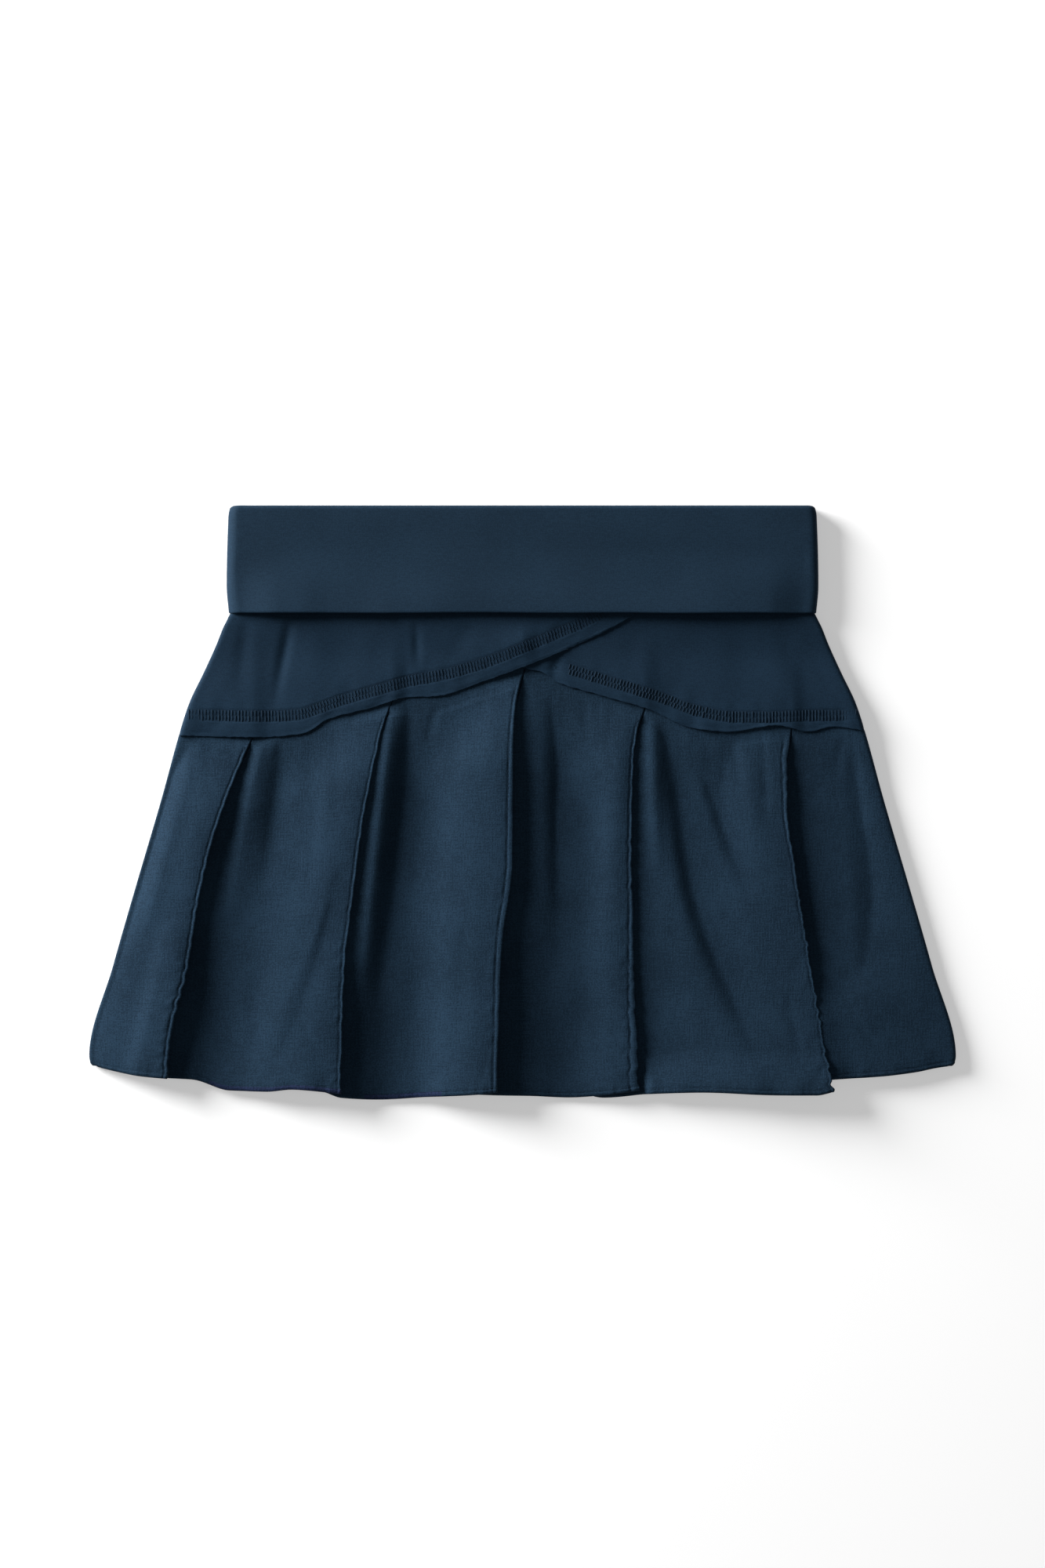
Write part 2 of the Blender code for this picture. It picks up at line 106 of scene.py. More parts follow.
# %% Outlines, raw edges and their stitching
Half = namedtuple("Half", "drop across")
Edge = namedtuple("Edge", "across drop")
BAND_SIDE = [Half(0, 167.2), Half(2.2, 168.2), Half(6, 168.9), Half(46, 169.9), Half(62, 168.6)]
SIDE = [
    Half(56, 165.8), Half(60, 166.4), Half(62.5, 168.0), Half(66.5, 170.0), Half(70, 171.8),
    Half(79, 175.4), Half(97, 183.6), Half(113, 191.2), Half(130, 196.8), Half(170, 207.9),
    Half(219, 222.3), Half(264, 235.2), Half(316, 249.0), Half(319.5, 248.4), Half(321.6, 246.8),
]
SHORTS_SIDE = [Half(56, 160), Half(130, 176), Half(200, 184), Half(264, 187)]
SHORTS_INSEAM = [Half(56, 0.15), Half(222, 0.15), Half(232, 3), Half(264, 13)]
LEFT_YOKE_EDGE = [
    Edge(-200, 132.1), Edge(-152, 133.2), Edge(-126, 131.1), Edge(-111, 122.7), Edge(-87, 116.4),
    Edge(-65, 110.2), Edge(-50, 109.6), Edge(-22, 101.0), Edge(3, 91.8), Edge(28, 81.5),
    Edge(57, 67.2), Edge(66, 61.5),
]
RIGHT_YOKE_EDGE = [
    Edge(-72, 54.0), Edge(-61, 64.4), Edge(-40, 75.0), Edge(-20, 86.0), Edge(0.7, 93.2),
    Edge(12, 95.9), Edge(19, 101.0), Edge(43, 108.5), Edge(73, 117.2), Edge(98, 128.0),
    Edge(119, 130.0), Edge(146, 126.3), Edge(164, 130.0), Edge(178, 127.2), Edge(200, 130.1),
]
LEFT_STITCH_LINE = [
    Edge(-200, 123.2), Edge(-181, 123.4), Edge(-151, 124.1), Edge(-129, 123.2), Edge(-117, 119.6),
    Edge(-106, 115.5), Edge(-84, 109.2), Edge(-64, 103.6), Edge(-47, 100.6), Edge(-17, 91.8),
    Edge(5, 82.8), Edge(20, 76.5), Edge(35, 70.2), Edge(66, 54.0),
]
RIGHT_STITCH_LINE = [
    Edge(20, 95.0), Edge(28, 97.4), Edge(56, 106.2), Edge(78, 112.8), Edge(100, 120.9),
    Edge(123, 124.6), Edge(139, 124.6), Edge(161, 123.8), Edge(200, 123.2),
]
YOKE_CROSSING = 0.7
YOKE_TIP = 64.0
print("garment:", 2 * SIDE[-3].across, "mm across the hem,", LENGTH, "mm long")

# %% Seams, pleats and hems
STITCH_AT_SIDE, SEAM_AT_SIDE, HEM_AT_SIDE = 125.0, 130.0, 330.0
PAST_SIDE = 250.0
BACK_SEAM = [Edge(0, 119.0), Edge(60, 121.0), Edge(130, 128.0), Edge(200, 131.0)]
BACK_HEM = [Edge(0, 335.5), Edge(90, 335.0), Edge(150, 333.0), Edge(203, 326.5), Edge(240, 321.6)]
PLEAT_LINES = [
    [
        Half(132, -154.5), Half(166, -168.2), Half(197, -178.4), Half(234, -186.4),
        Half(263, -190.8), Half(307, -201.4), Half(329, -203.2),
    ],
    [
        Half(112, -74.8), Half(126, -79.6), Half(151, -85.2), Half(183, -91.2), Half(232, -97.6),
        Half(261, -101.2), Half(337, -104.1),
    ],
    [
        Half(93, 1.4), Half(113, -3.3), Half(138, -5.0), Half(204, -5.4), Half(254, -11.6),
        Half(337, -14.6),
    ],
    [
        Half(117, 70.2), Half(129, 66.2), Half(154, 63.5), Half(204, 63.0), Half(254, 64.0),
        Half(337, 66.7),
    ],
    [
        Half(129, 154.4), Half(152, 152.0), Half(175, 152.2), Half(204, 156.0), Half(266, 165.8),
        Half(336, 178.0),
    ],
]
FRONT_HEMS = [
    [
        Edge(-246, 321.6), Edge(-241, 323), Edge(-219, 327.2), Edge(-203, 328.6),
    ],
    [
        Edge(-231, 326), Edge(-204, 328.6), Edge(-190, 329.4), Edge(-168, 335.8),
        Edge(-147, 336.2), Edge(-132, 334.8), Edge(-104, 337.2),
    ],
    [
        Edge(-132, 334.3), Edge(-114, 336.6), Edge(-104, 339.8), Edge(-82, 341.1),
        Edge(-53, 339.3), Edge(-24, 337.4), Edge(-14, 336.2),
    ],
    [
        Edge(-42, 337.5), Edge(-24, 338.2), Edge(4, 338.9), Edge(26, 339.9), Edge(48, 338.4),
        Edge(67, 335.6),
    ],
    [
        Edge(38, 338.8), Edge(46, 340.1), Edge(76, 337.5), Edge(105, 336.6), Edge(148, 338.0),
        Edge(168, 338.0), Edge(178, 336.0),
    ],
    [
        Edge(150, 331.5), Edge(177, 329.4), Edge(206, 327.6), Edge(227, 325.0), Edge(236, 323.1),
        Edge(246, 321.6),
    ],
]
print("pleats:", len(PLEAT_LINES), "hems:", len(FRONT_HEMS))

# %% [markdown]
# ## Curves, blends and ripples
#
# A smooth line through a table's rows must not overshoot, or a seam would bulge between two
# measured points. A monotone cubic does that, and numpy works out a whole panel at once. The
# ripple helper adds a few plane waves with seeded directions: cloth is never perfectly even,
# and a fixed seed gives the same cloth each time.

# %% Curves, blends and ripples


def curve(rows):
    """A smooth function through rows of (position, value), with no overshoot."""
    xs, ys = np.array(rows, float).T
    slopes = np.diff(ys) / np.diff(xs)
    before, after = slopes[:-1], slopes[1:]
    total = np.where(before + after == 0, 1, before + after)
    inner = np.where(before * after > 0, 2 * before * after / total, 0)
    tangents = np.concatenate(([slopes[0]], inner, [slopes[-1]]))

    def value(x):
        x = np.clip(x, xs[0], xs[-1])
        i = np.clip(np.searchsorted(xs, x, side="right") - 1, 0, len(xs) - 2)
        span = xs[i + 1] - xs[i]
        t = (x - xs[i]) / span
        start = (1 + 2 * t) * (1 - t) ** 2 * ys[i] + t * (1 - t) ** 2 * span * tangents[i]
        end = t * t * (3 - 2 * t) * ys[i + 1] - t * t * (1 - t) * span * tangents[i + 1]
        return start + end

    return value


def ease(low, high, x):
    """0 below low, 1 above high, and a smooth rise between."""
    t = np.clip((x - low) / (high - low), 0, 1)
    return t * t * (3 - 2 * t)


def mix(a, b, share):
    """From a, where share is 0, to b, where it is 1."""
    return a + (b - a) * share


def graded(*parts):
    """Positions that lie closer together in some parts; each part is (start, end, count)."""
    spaced = [np.linspace(start, end, count, endpoint=False) for start, end, count in parts[:-1]]
    return np.concatenate(spaced + [np.linspace(*parts[-1])])


def ripple(across, drop, width, length, seed):
    """Soft uneven waves, about width by length millimetres, between -1 and 1."""
    rng = np.random.default_rng(seed)
    waves = 14
    total = 0
    for _ in range(waves):
        turn, phase = rng.uniform(0, 2 * math.pi, 2)
        size = rng.uniform(0.65, 1.5)
        x = across * math.cos(turn) / (width * size)
        y = drop * math.sin(turn) / (length * size)
        total = total + np.sin(2 * math.pi * (x + y) + phase)
    return total / waves ** 0.5 / 1.4


# %% The garment's own lines
band_side = curve(BAND_SIDE)
side = curve(SIDE)
shorts_side = curve(SHORTS_SIDE)
shorts_inseam = curve(SHORTS_INSEAM)
left_yoke_edge = curve(LEFT_YOKE_EDGE)
right_yoke_edge = curve(RIGHT_YOKE_EDGE)
left_stitch_line = curve(LEFT_STITCH_LINE)
right_stitch_line = curve(RIGHT_STITCH_LINE)
back_seam = curve(BACK_SEAM)
back_hem = curve(BACK_HEM)
front_hems = [curve(rows) for rows in FRONT_HEMS]
pleat_lines = [curve(rows) for rows in PLEAT_LINES]


def front_seam(across):
    return np.where(across < YOKE_CROSSING, left_yoke_edge(across), right_yoke_edge(across))


def flat_half(drop, inset=0.0):
    """Where the flat part of a panel ends and its side fold begins."""
    return side(drop) - WALL_IN_FRAME / 2 - SIDE_ROUND - inset


def back_half(drop, inset=0.0):
    return flat_half(drop, inset) - SIDE_LIP - SIDE_SEAM


def at_waist(drop):
    """1 at the waist seam, and 0 where the layers below it lie flat again."""
    return 1 - ease(63.5, 95, drop)


print("the raw edges cross", round(front_seam(YOKE_CROSSING).item(), 1), "mm below the top fold")

# %% [markdown]
# ## A cloth from rows of points
#
# Each panel is a grid: rows run across it and follow each other down. The grid becomes a thin
# shell with Solidify, whose vertex group makes hems and rolled edges thicker than the plain
# cloth. Its map, called cloth, is laid out in real metres along the threads, so a weave keeps
# its size and runs round the folds with the fabric, as printed or woven cloth does.

# %% Lay a cloth


def lay_cloth(name, across, drop, height, wall, finish, thick=None, ring=False, down=None):
    """A shell through arrays of points in millimetres. thick is its thickness at each point,
    and ring joins each row's end to its start."""
    rows, columns = across.shape
    points = np.stack([across * MM, (LENGTH / 2 - drop) * MM, height * MM], axis=-1)
    index = np.arange(rows * columns).reshape(rows, columns)
    if ring:
        index = np.concatenate([index, index[:, :1]], axis=1)
    corners = [index[:-1, :-1], index[1:, :-1], index[1:, 1:], index[:-1, 1:]]
    mesh = bpy.data.meshes.new(name)
    mesh.from_pydata(points.reshape(-1, 3).tolist(), [], np.stack(corners, -1).reshape(-1, 4).tolist())

    flat = points.reshape(-1, 3)[index] / MM
    step = np.linalg.norm(np.diff(flat[..., ::2], axis=1), axis=-1)
    along = np.concatenate([np.zeros((rows, 1)), np.cumsum(step, axis=1)], axis=1)
    middle = columns // 2
    along += flat[:, middle : middle + 1, 0] - along[:, middle : middle + 1]
    fall = drop if down is None else down
    fall = np.concatenate([fall, fall[:, :1]], axis=1) if ring else fall
    map_points = np.stack([along, -fall], -1) * MM
    loops = np.stack([map_points[:-1, :-1], map_points[1:, :-1], map_points[1:, 1:], map_points[:-1, 1:]], 2)
    cloth_map = mesh.uv_layers.new(name="cloth")
    cloth_map.data.foreach_set("uv", loops.reshape(-1))

    mesh.materials.append(finish)
    mesh.shade_smooth()
    piece = bpy.data.objects.new(name, mesh)
    bpy.context.scene.collection.objects.link(piece)
    shell = piece.modifiers.new("wall", "SOLIDIFY")
    shell.thickness = wall * MM
    shell.offset = 0
    shell.use_even_offset = True
    if thick is not None:
        group = piece.vertex_groups.new(name="thickness")
        shares = np.round(np.broadcast_to(thick, across.shape) / wall, 2).reshape(-1)
        for share in np.unique(shares):
            group.add(np.flatnonzero(shares == share).tolist(), float(share), "REPLACE")
        shell.vertex_group = "thickness"
    return piece


# %% [markdown]
# ## Thread, knit and mottle
#
# Three effects turn up in more than one cloth, so each is a node group. Streaks are uneven
# threads: noise drawn out along one direction. Two sets of them, one each way, and a fine
# over-and-under grid give the voile its crosshatch. Jersey is columns of small v shapes with a
# slight heather. Mottle is the cloudy unevenness of a washed garment dye. An image of cloth
# would be quicker, but it has one fixed size and repeats; nodes follow the map in metres.

# %% Node helpers


def new_group(name, inputs, outputs):
    group = bpy.data.node_groups.new(name, "ShaderNodeTree")
    for kind, label, default in inputs:
        socket = group.interface.new_socket(name=label, in_out="INPUT", socket_type=kind)
        if default is not None:
            socket.default_value = default
    for kind, label in outputs:
        group.interface.new_socket(name=label, in_out="OUTPUT", socket_type=kind)
    return group, group.nodes.new("NodeGroupInput"), group.nodes.new("NodeGroupOutput")


def wire(tree, kind, sources, **settings):
    """Adds a node. sources gives its inputs, each a socket or a value: by name, or in order with
    None for one that is left as it is."""
    node = tree.nodes.new(kind)
    for key, value in settings.items():
        setattr(node, key, value)
    for slot, source in sources.items() if isinstance(sources, dict) else enumerate(sources):
        if isinstance(source, bpy.types.NodeSocket):
            tree.links.new(source, node.inputs[slot])
        elif source is not None:
            node.inputs[slot].default_value = source
    return node


def set_inputs(node, values):
    for label, value in values.items():
        node.inputs[label].default_value = value


def maths(tree, operation, *sources):
    return wire(tree, "ShaderNodeMath", sources, operation=operation).outputs[0]


def scaled(tree, vector, x, y):
    """The vector with its two map directions divided by x and y."""
    parts = wire(tree, "ShaderNodeSeparateXYZ", [vector]).outputs
    across = maths(tree, "DIVIDE", parts[0], x)
    along = maths(tree, "DIVIDE", parts[1], y)
    return wire(tree, "ShaderNodeCombineXYZ", [across, along]).outputs[0]


def drawn_noise(tree, vector, x, y, detail):
    """Noise whose clouds are about x by y metres."""
    sources = {"Vector": scaled(tree, vector, x, y), "Scale": 1.0, "Detail": detail}
    return wire(tree, "ShaderNodeTexNoise", sources).outputs["Fac"]


def colour_between(tree, share, dark, light):
    """A colour that goes from dark to light with share."""
    tone = wire(tree, "ShaderNodeMix", [share], data_type="RGBA")
    low, high = (socket for socket in tone.inputs if socket.type == "RGBA")
    low.default_value, high.default_value = (*dark, 1), (*light, 1)
    return next(socket for socket in tone.outputs if socket.type == "RGBA")


# %% Groups for threads, weave, knit and mottle
VECTOR, FLOAT = "NodeSocketVector", "NodeSocketFloat"
THREAD_OUTPUTS = [(FLOAT, "Height"), (FLOAT, "Shade")]

mottle_inputs = [(VECTOR, "Vector", None), (FLOAT, "Size", 0.03)]
mottle, given, made = new_group("mottle", mottle_inputs, [(FLOAT, "Shade")])
vector, size = (given.outputs[name] for name in ("Vector", "Size"))
mottle.links.new(drawn_noise(mottle, vector, size, size, 3), made.inputs["Shade"])

weave_inputs = [(VECTOR, "Vector", None), (FLOAT, "Thread", 0.0004), (FLOAT, "Slub", 0.02)]
weave, given, made = new_group("weave", weave_inputs, THREAD_OUTPUTS)
vector, pitch, slub = (given.outputs[name] for name in ("Vector", "Thread", "Slub"))
wide = maths(weave, "MULTIPLY", pitch, 2.0)
warp = drawn_noise(weave, vector, wide, slub, 2)
weft = drawn_noise(weave, vector, slub, wide, 2)
fuzz = drawn_noise(weave, vector, wide, wide, 2)
parts = wire(weave, "ShaderNodeSeparateXYZ", [scaled(weave, vector, pitch, pitch)]).outputs
over = maths(weave, "SINE", maths(weave, "MULTIPLY", parts[0], math.pi))
under = maths(weave, "SINE", maths(weave, "MULTIPLY", parts[1], math.pi))
grid = maths(weave, "MULTIPLY", over, under)
streaks = maths(weave, "ADD", warp, weft)
relief = maths(weave, "MULTIPLY_ADD", grid, 0.05, maths(weave, "ADD", streaks, fuzz))
shade = maths(weave, "MULTIPLY_ADD", streaks, 0.22, maths(weave, "MULTIPLY", fuzz, 0.56))
weave.links.new(relief, made.inputs["Height"])
weave.links.new(shade, made.inputs["Shade"])

knit_inputs = [(VECTOR, "Vector", None), (FLOAT, "Wale", 0.0007)]
knit, given, made = new_group("knit", knit_inputs, THREAD_OUTPUTS)
vector, wale = (given.outputs[name] for name in ("Vector", "Wale"))
parts = wire(knit, "ShaderNodeSeparateXYZ", [scaled(knit, vector, wale, wale)]).outputs
column = maths(knit, "PINGPONG", parts[0], 0.5)
course = maths(knit, "MULTIPLY_ADD", column, 1.1, maths(knit, "MULTIPLY", parts[1], 1.25))
loops = maths(knit, "SINE", maths(knit, "MULTIPLY", course, 2 * math.pi))
rib = maths(knit, "SINE", maths(knit, "MULTIPLY", column, 2 * math.pi))
wales = {count: maths(knit, "MULTIPLY", wale, count) for count in (1.1, 1.2, 3.5, 6.0)}
fibre = drawn_noise(knit, vector, wales[1.1], wales[3.5], 3)
cross = drawn_noise(knit, vector, wales[6.0], wales[1.2], 2)
fuzz = drawn_noise(knit, vector, wale, wale, 2)
drawn = maths(knit, "ADD", fibre, cross)
heather = maths(knit, "MULTIPLY_ADD", drawn, 0.24, maths(knit, "MULTIPLY", fuzz, 0.52))
relief = maths(knit, "MULTIPLY_ADD", maths(knit, "MULTIPLY", loops, rib), 0.25, heather)
knit.links.new(relief, made.inputs["Height"])
knit.links.new(heather, made.inputs["Shade"])
print("node groups:", [group.name for group in (mottle, weave, knit)])

# %% [markdown]
# ## The cloths and the thread
#
# All of the garment is dyed one navy. What differs is how each cloth takes the light: voile is
# thin and crinkled with a dry surface, jersey is smooth with a soft bloom at its rounded edges.
# Sheen in the Principled shader gives that bloom. A velvet shader would be too strong here. The
# yokes' jersey is a darker copy of the doubled band's, which paints shade on them, and a lighter,
# more violet copy of the voile paints a sheen on the turned hem of two gores.

# %% Make the cloths
THREADS_IN_SHADE, CLOUDS_IN_SHADE = 0.8, 0.2
DARKEST_SHADE, LIGHTEST_SHADE = 0.44, 0.56
BUMP_STRENGTH = 0.6
BLOOM = (0.35, 0.62, 1.0, 1)

Fabric = namedtuple("Fabric", "threads sizes relief cloud rough sheen")
VOILE = Fabric(weave, {"Thread": 0.00045, "Slub": 0.008}, 0.21, 0.035, 0.85, 0.015)
JERSEY = Fabric(knit, {"Wale": 0.0007}, 0.07, 0.05, 0.8, 0.02)
SHORTS_JERSEY = Fabric(knit, {"Wale": 0.0008}, 0.07, 0.05, 0.85, 0.02)


def new_finish(name):
    finish = bpy.data.materials.new(name)
    finish.use_nodes = True
    return finish, finish.node_tree, finish.node_tree.nodes["Principled BSDF"]


def cloth_finish(name, fabric, dark, light):
    """A dyed cloth, whose threads go from dark to light and whose dye is slightly cloudy."""
    finish, tree, shader = new_finish(name)
    place = wire(tree, "ShaderNodeUVMap", [], uv_map="cloth").outputs[0]
    threads = wire(tree, "ShaderNodeGroup", [], node_tree=fabric.threads)
    tree.links.new(place, threads.inputs["Vector"])
    set_inputs(threads, fabric.sizes)
    clouds = wire(tree, "ShaderNodeGroup", [], node_tree=mottle)
    tree.links.new(place, clouds.inputs["Vector"])
    set_inputs(clouds, {"Size": fabric.cloud})
    cloudy = maths(tree, "MULTIPLY", clouds.outputs["Shade"], CLOUDS_IN_SHADE)
    shade = maths(tree, "MULTIPLY_ADD", threads.outputs["Shade"], THREADS_IN_SHADE, cloudy)
    limits = [shade, DARKEST_SHADE, LIGHTEST_SHADE, 0.0, 1.0]
    contrast = wire(tree, "ShaderNodeMapRange", limits).outputs[0]
    tree.links.new(colour_between(tree, contrast, dark, light), shader.inputs["Base Color"])
    bump_sources = {"Strength": BUMP_STRENGTH, "Distance": fabric.relief * MM}
    bump_sources["Height"] = threads.outputs["Height"]
    bump = wire(tree, "ShaderNodeBump", bump_sources)
    tree.links.new(bump.outputs["Normal"], shader.inputs["Normal"])
    set_inputs(shader, {"Roughness": fabric.rough, "Specular IOR Level": 0.1})
    set_inputs(shader, {"Sheen Weight": fabric.sheen, "Sheen Roughness": 0.45, "Sheen Tint": BLOOM})
    return finish


voile = cloth_finish("navy voile", VOILE, (0.0041, 0.0136, 0.0264), (0.0086, 0.0240, 0.0445))
# A lighter, more violet copy of the voile, which paints a sheen on the turned hem of two gores.
voile_painted_sheen = cloth_finish("navy voile painted sheen", VOILE, (0.0046, 0.0098, 0.0262), (0.0100, 0.0178, 0.0490))
jersey = cloth_finish("navy jersey", JERSEY, (0.0042, 0.0145, 0.0282), (0.0072, 0.0215, 0.0405))
# A darker copy of the band's jersey, which paints shade on the yokes.
yoke_jersey_painted_shade = cloth_finish("navy yoke jersey, painted shade", JERSEY, (0.0034, 0.0131, 0.0266), (0.0060, 0.0197, 0.0386))
shorts_colours = (0.0041, 0.0140, 0.0270), (0.0070, 0.0205, 0.0380)
shorts_jersey = cloth_finish("navy shorts jersey", SHORTS_JERSEY, *shorts_colours)

STRAND = 0.0006
sewing_thread, tree, shader = new_finish("navy thread")
where = wire(tree, "ShaderNodeTexCoord", []).outputs["Object"]
strands = drawn_noise(tree, where, STRAND, STRAND, 2)
share = wire(tree, "ShaderNodeMapRange", [strands, 0.3, 0.7, 0.0, 1.0]).outputs[0]
hue = colour_between(tree, share, (0.0033, 0.00975, 0.01875), (0.00594, 0.01755, 0.03375))
tree.links.new(hue, shader.inputs["Base Color"])
set_inputs(shader, {"Roughness": 0.75, "Specular IOR Level": 0.1})
print("finishes:", [finish.name for finish in (voile, jersey, yoke_jersey_painted_shade, shorts_jersey, sewing_thread)])

# %% [markdown]
# ## The band
#
# The band is one wide tube of doubled jersey, folded down outside itself to half its height, so
# its lower edge is a soft fold too. Lofting one profile round a flattened ring gives the two
# plies and the top fold in a single surface. It is puffed a little, its lower edge thins to a
# rounded nose, and it stands away from the yokes here and there.

# %% Rings of the band
BAND_COLUMNS = {"front": 190, "back": 50, "round": 16}
BAND_ROWS = {"outer": 46, "fold": 12, "inner": 10}
BAND_SQUARENESS = {"left": 1.1, "right": 0.62}
BAND_INSET = 0.9
BAND_NOSE = np.array([0.0, 0.12, 0.35, 0.7, 1.2, 2.0])
BAND_LIFTS = [
    Edge(-170, 0.1), Edge(-150, 0.5), Edge(-128, 0.5), Edge(-110, -0.4), Edge(-95, -0.3),
    Edge(-75, 0.6), Edge(-55, 0.4), Edge(-30, -0.2), Edge(0, 0.0), Edge(40, -0.1),
    Edge(75, 0.3), Edge(105, 1.4), Edge(130, 0.5), Edge(150, -0.3), Edge(170, -0.2),
]
band_lift = curve(BAND_LIFTS)
print("rings of", 2 * BAND_COLUMNS["round"] + BAND_COLUMNS["front"] + BAND_COLUMNS["back"], "points")


def squared(turn, squareness):
    """Cosine and sine drawn in or out, for a side fold that is squarer or sharper."""
    return [np.sign(wave) * np.abs(wave) ** squareness for wave in (np.cos(turn), np.sin(turn))]


def band_ring(drop, low, high, inset):
    """One ring of the band: over the front, round the right side, and back under."""
    radius = (high - low) / 2
    half = float(band_side(drop)) - BAND_INSET - inset
    straight = half - radius
    front = np.linspace(-straight, straight, BAND_COLUMNS["front"], endpoint=False)
    turn = math.pi * (0.5 - np.linspace(0, 1, BAND_COLUMNS["round"], endpoint=False))
    back = np.linspace(straight, -straight, BAND_COLUMNS["back"], endpoint=False)
    right_out, right_up = (radius * part for part in squared(turn, BAND_SQUARENESS["right"]))
    left_out, left_up = (radius * part for part in squared(turn, BAND_SQUARENESS["left"]))
    across = np.concatenate([front, straight + right_out, back, -straight - left_out])
    middle = (low + high) / 2
    height = np.concatenate([front * 0 + high, middle + right_up, back * 0 + low, middle - left_up])
    on_front = np.concatenate([front * 0 + 1, turn * 0, back * 0, turn * 0])
    return across, height, on_front


def outer_ring(drop):
    """A ring of the outer ply: it bulges, and its foot lifts off the yokes unevenly."""
    across, height, on_front = band_ring(drop, BAND_OUTER_LOW, BAND_OUTER_HIGH, 0)
    bulge = BAND_BULGE * ease(24, 66, drop) * (1 - ease(140, 163, np.abs(across)))
    foot = ease(30, BAND_DROP, drop)
    wave = foot * (band_lift(across) + 0.25 * ripple(across, drop, 60, 60, 3))
    soft = 0.22 * ripple(across, drop, 90, 34, 5) * math.sin(math.pi * min(1.0, drop / BAND_DROP))
    height = height + on_front * (wave * 0.8 + soft + bulge)
    return across, drop + on_front * foot * 0.35 * ripple(across, drop, 80, 80, 8), height


# %% Loft the band


def make_band():
    """The outer ply from its foot up, the top fold, and the inner ply down to the waist seam."""
    fold_round = (BAND_OUTER_HIGH - BAND_OUTER_LOW - BAND_INNER_HIGH + BAND_INNER_LOW) / 4
    top = BAND_INSET + fold_round
    inner_inset = 2 * BAND_INSET + BAND_SIDE_GAP
    above_nose = np.linspace(BAND_DROP - 3.5, top, BAND_ROWS["outer"])
    outer_drops = np.concatenate([BAND_DROP - BAND_NOSE, above_nose])
    rows = [outer_ring(drop) for drop in outer_drops]
    for share in np.linspace(0, 1, BAND_ROWS["fold"])[1:-1]:
        inward = (1 - math.cos(math.pi * share)) / 2
        drop = top - fold_round * math.sin(math.pi * share)
        low = mix(BAND_OUTER_LOW, BAND_INNER_LOW, inward)
        high = mix(BAND_OUTER_HIGH, BAND_INNER_HIGH, inward)
        across, height, _ = band_ring(drop, low, high, inner_inset * inward)
        rows.append((across, across * 0 + drop, height))
    for drop in np.linspace(top, WAIST_SEAM - 0.3, BAND_ROWS["inner"]):
        across, height, _ = band_ring(drop, BAND_INNER_LOW, BAND_INNER_HIGH, inner_inset)
        rows.append((across, across * 0 + drop, height))
    across, drop, height = (np.stack([row[i] for row in rows])[::-1] for i in range(3))
    nose_round = (1 - BAND_NOSE / BAND_INSET).clip(0, 1)
    end = np.ones(len(rows))
    end[: len(BAND_NOSE)] = np.sqrt(np.clip(1 - nose_round ** 2, 0.02, 1))
    thick = end[::-1][:, None] * BAND_WALL
    steps = np.hypot(np.diff(drop, axis=0), np.diff(height, axis=0))
    down = np.concatenate([np.zeros((1, across.shape[1])), np.cumsum(steps, axis=0)])
    down = np.broadcast_to(down[:, BAND_COLUMNS["front"] // 2][:, None], across.shape)
    return lay_cloth("waistband_cloth", across, drop, height, BAND_WALL, jersey, thick, True, down)


band_cloth = make_band()
print("band:", len(band_cloth.data.polygons), "faces")

# %% [markdown]
# ## Side folds
#
# The front panels wrap round the sides and meet the back underneath, as they do when the side
# seams of a laid-out garment roll to the back. Each front row therefore starts or ends with the
# points of a half turn.

# %% Points of a side fold
ROLL_POINTS = 12
SIDE_SQUARENESS = 0.65


def rolled_side(drop, sign, low_z, high_z, inset=0.0, wall=VOILE_WALL):
    """Columns of a side fold, from the lip under the side round to the top, as (across, z)."""
    centre = flat_half(drop, inset)[:, None]
    round_out = SIDE_ROUND + (WALL_IN_FRAME - wall) / 2
    turn = math.pi * (np.linspace(0, 1, ROLL_POINTS) - 0.5)
    radius = ((high_z - low_z) / 2)[:, None]
    out, up = squared(turn, SIDE_SQUARENESS)
    across = np.concatenate([centre - SIDE_LIP, centre + round_out * out], axis=1)
    height = np.concatenate([low_z[:, None], low_z[:, None] + radius * (1 + up)], axis=1)
    return sign * across, height


print("a side fold is", 2 * SIDE_ROUND, "mm high, in", ROLL_POINTS, "columns")

# %% [markdown]
# ## The yokes
#
# Both yokes are jersey with raw edges. The left one crosses over the right one. A three-needle
# cover stitch holds the pleats. The sewer kept to a smoother line than the cut edge, so what is
# left below the stitches is wider here and narrower there. The stitches flatten the cloth into a
# shallow channel, and the raw edge below them curls up a little and waves. A few soft drag lines
# run down from the band. All of it is added to the plain height of the panel.

# %% Drag lines on the yokes
Drag = namedtuple("Drag", "top drop_top foot drop_foot spread height")
LEFT_DRAGS = [
    Drag(-158.5, 64, -163.0, 112, 4.5, -0.45),
    Drag(-132.5, 62, -143.0, 118, 3.4, -0.85),
    Drag(-118.0, 66, -122.0, 112, 9.0, 0.35),
    Drag(-61.0, 66, -60.0, 96, 2.6, -0.55),
    Drag(-88.0, 70, -96.0, 108, 8.0, 0.25),
    Drag(-30.0, 66, -42.0, 92, 6.0, -0.25),
]
RIGHT_DRAGS = [
    Drag(66.0, 70, 60.0, 104, 7.0, -0.2),
    Drag(112.0, 66, 118.0, 112, 9.0, 0.25),
    Drag(150.0, 68, 160.0, 112, 6.0, -0.3),
    Drag(20.0, 84, 17.0, 101, 3.2, -0.8),
]


def drag_height(across, drop, drags):
    """What soft drag lines add at a point: each runs straight and fades at both ends."""
    total = across * 0.0
    for drag in drags:
        share = np.clip((drop - drag.drop_top) / (drag.drop_foot - drag.drop_top), 0, 1)
        line = mix(drag.top, drag.foot, share)
        fade = np.sin(math.pi * share ** 0.7)
        total = total + drag.height * fade * np.exp(-(((across - line) / drag.spread) ** 2))
    return total


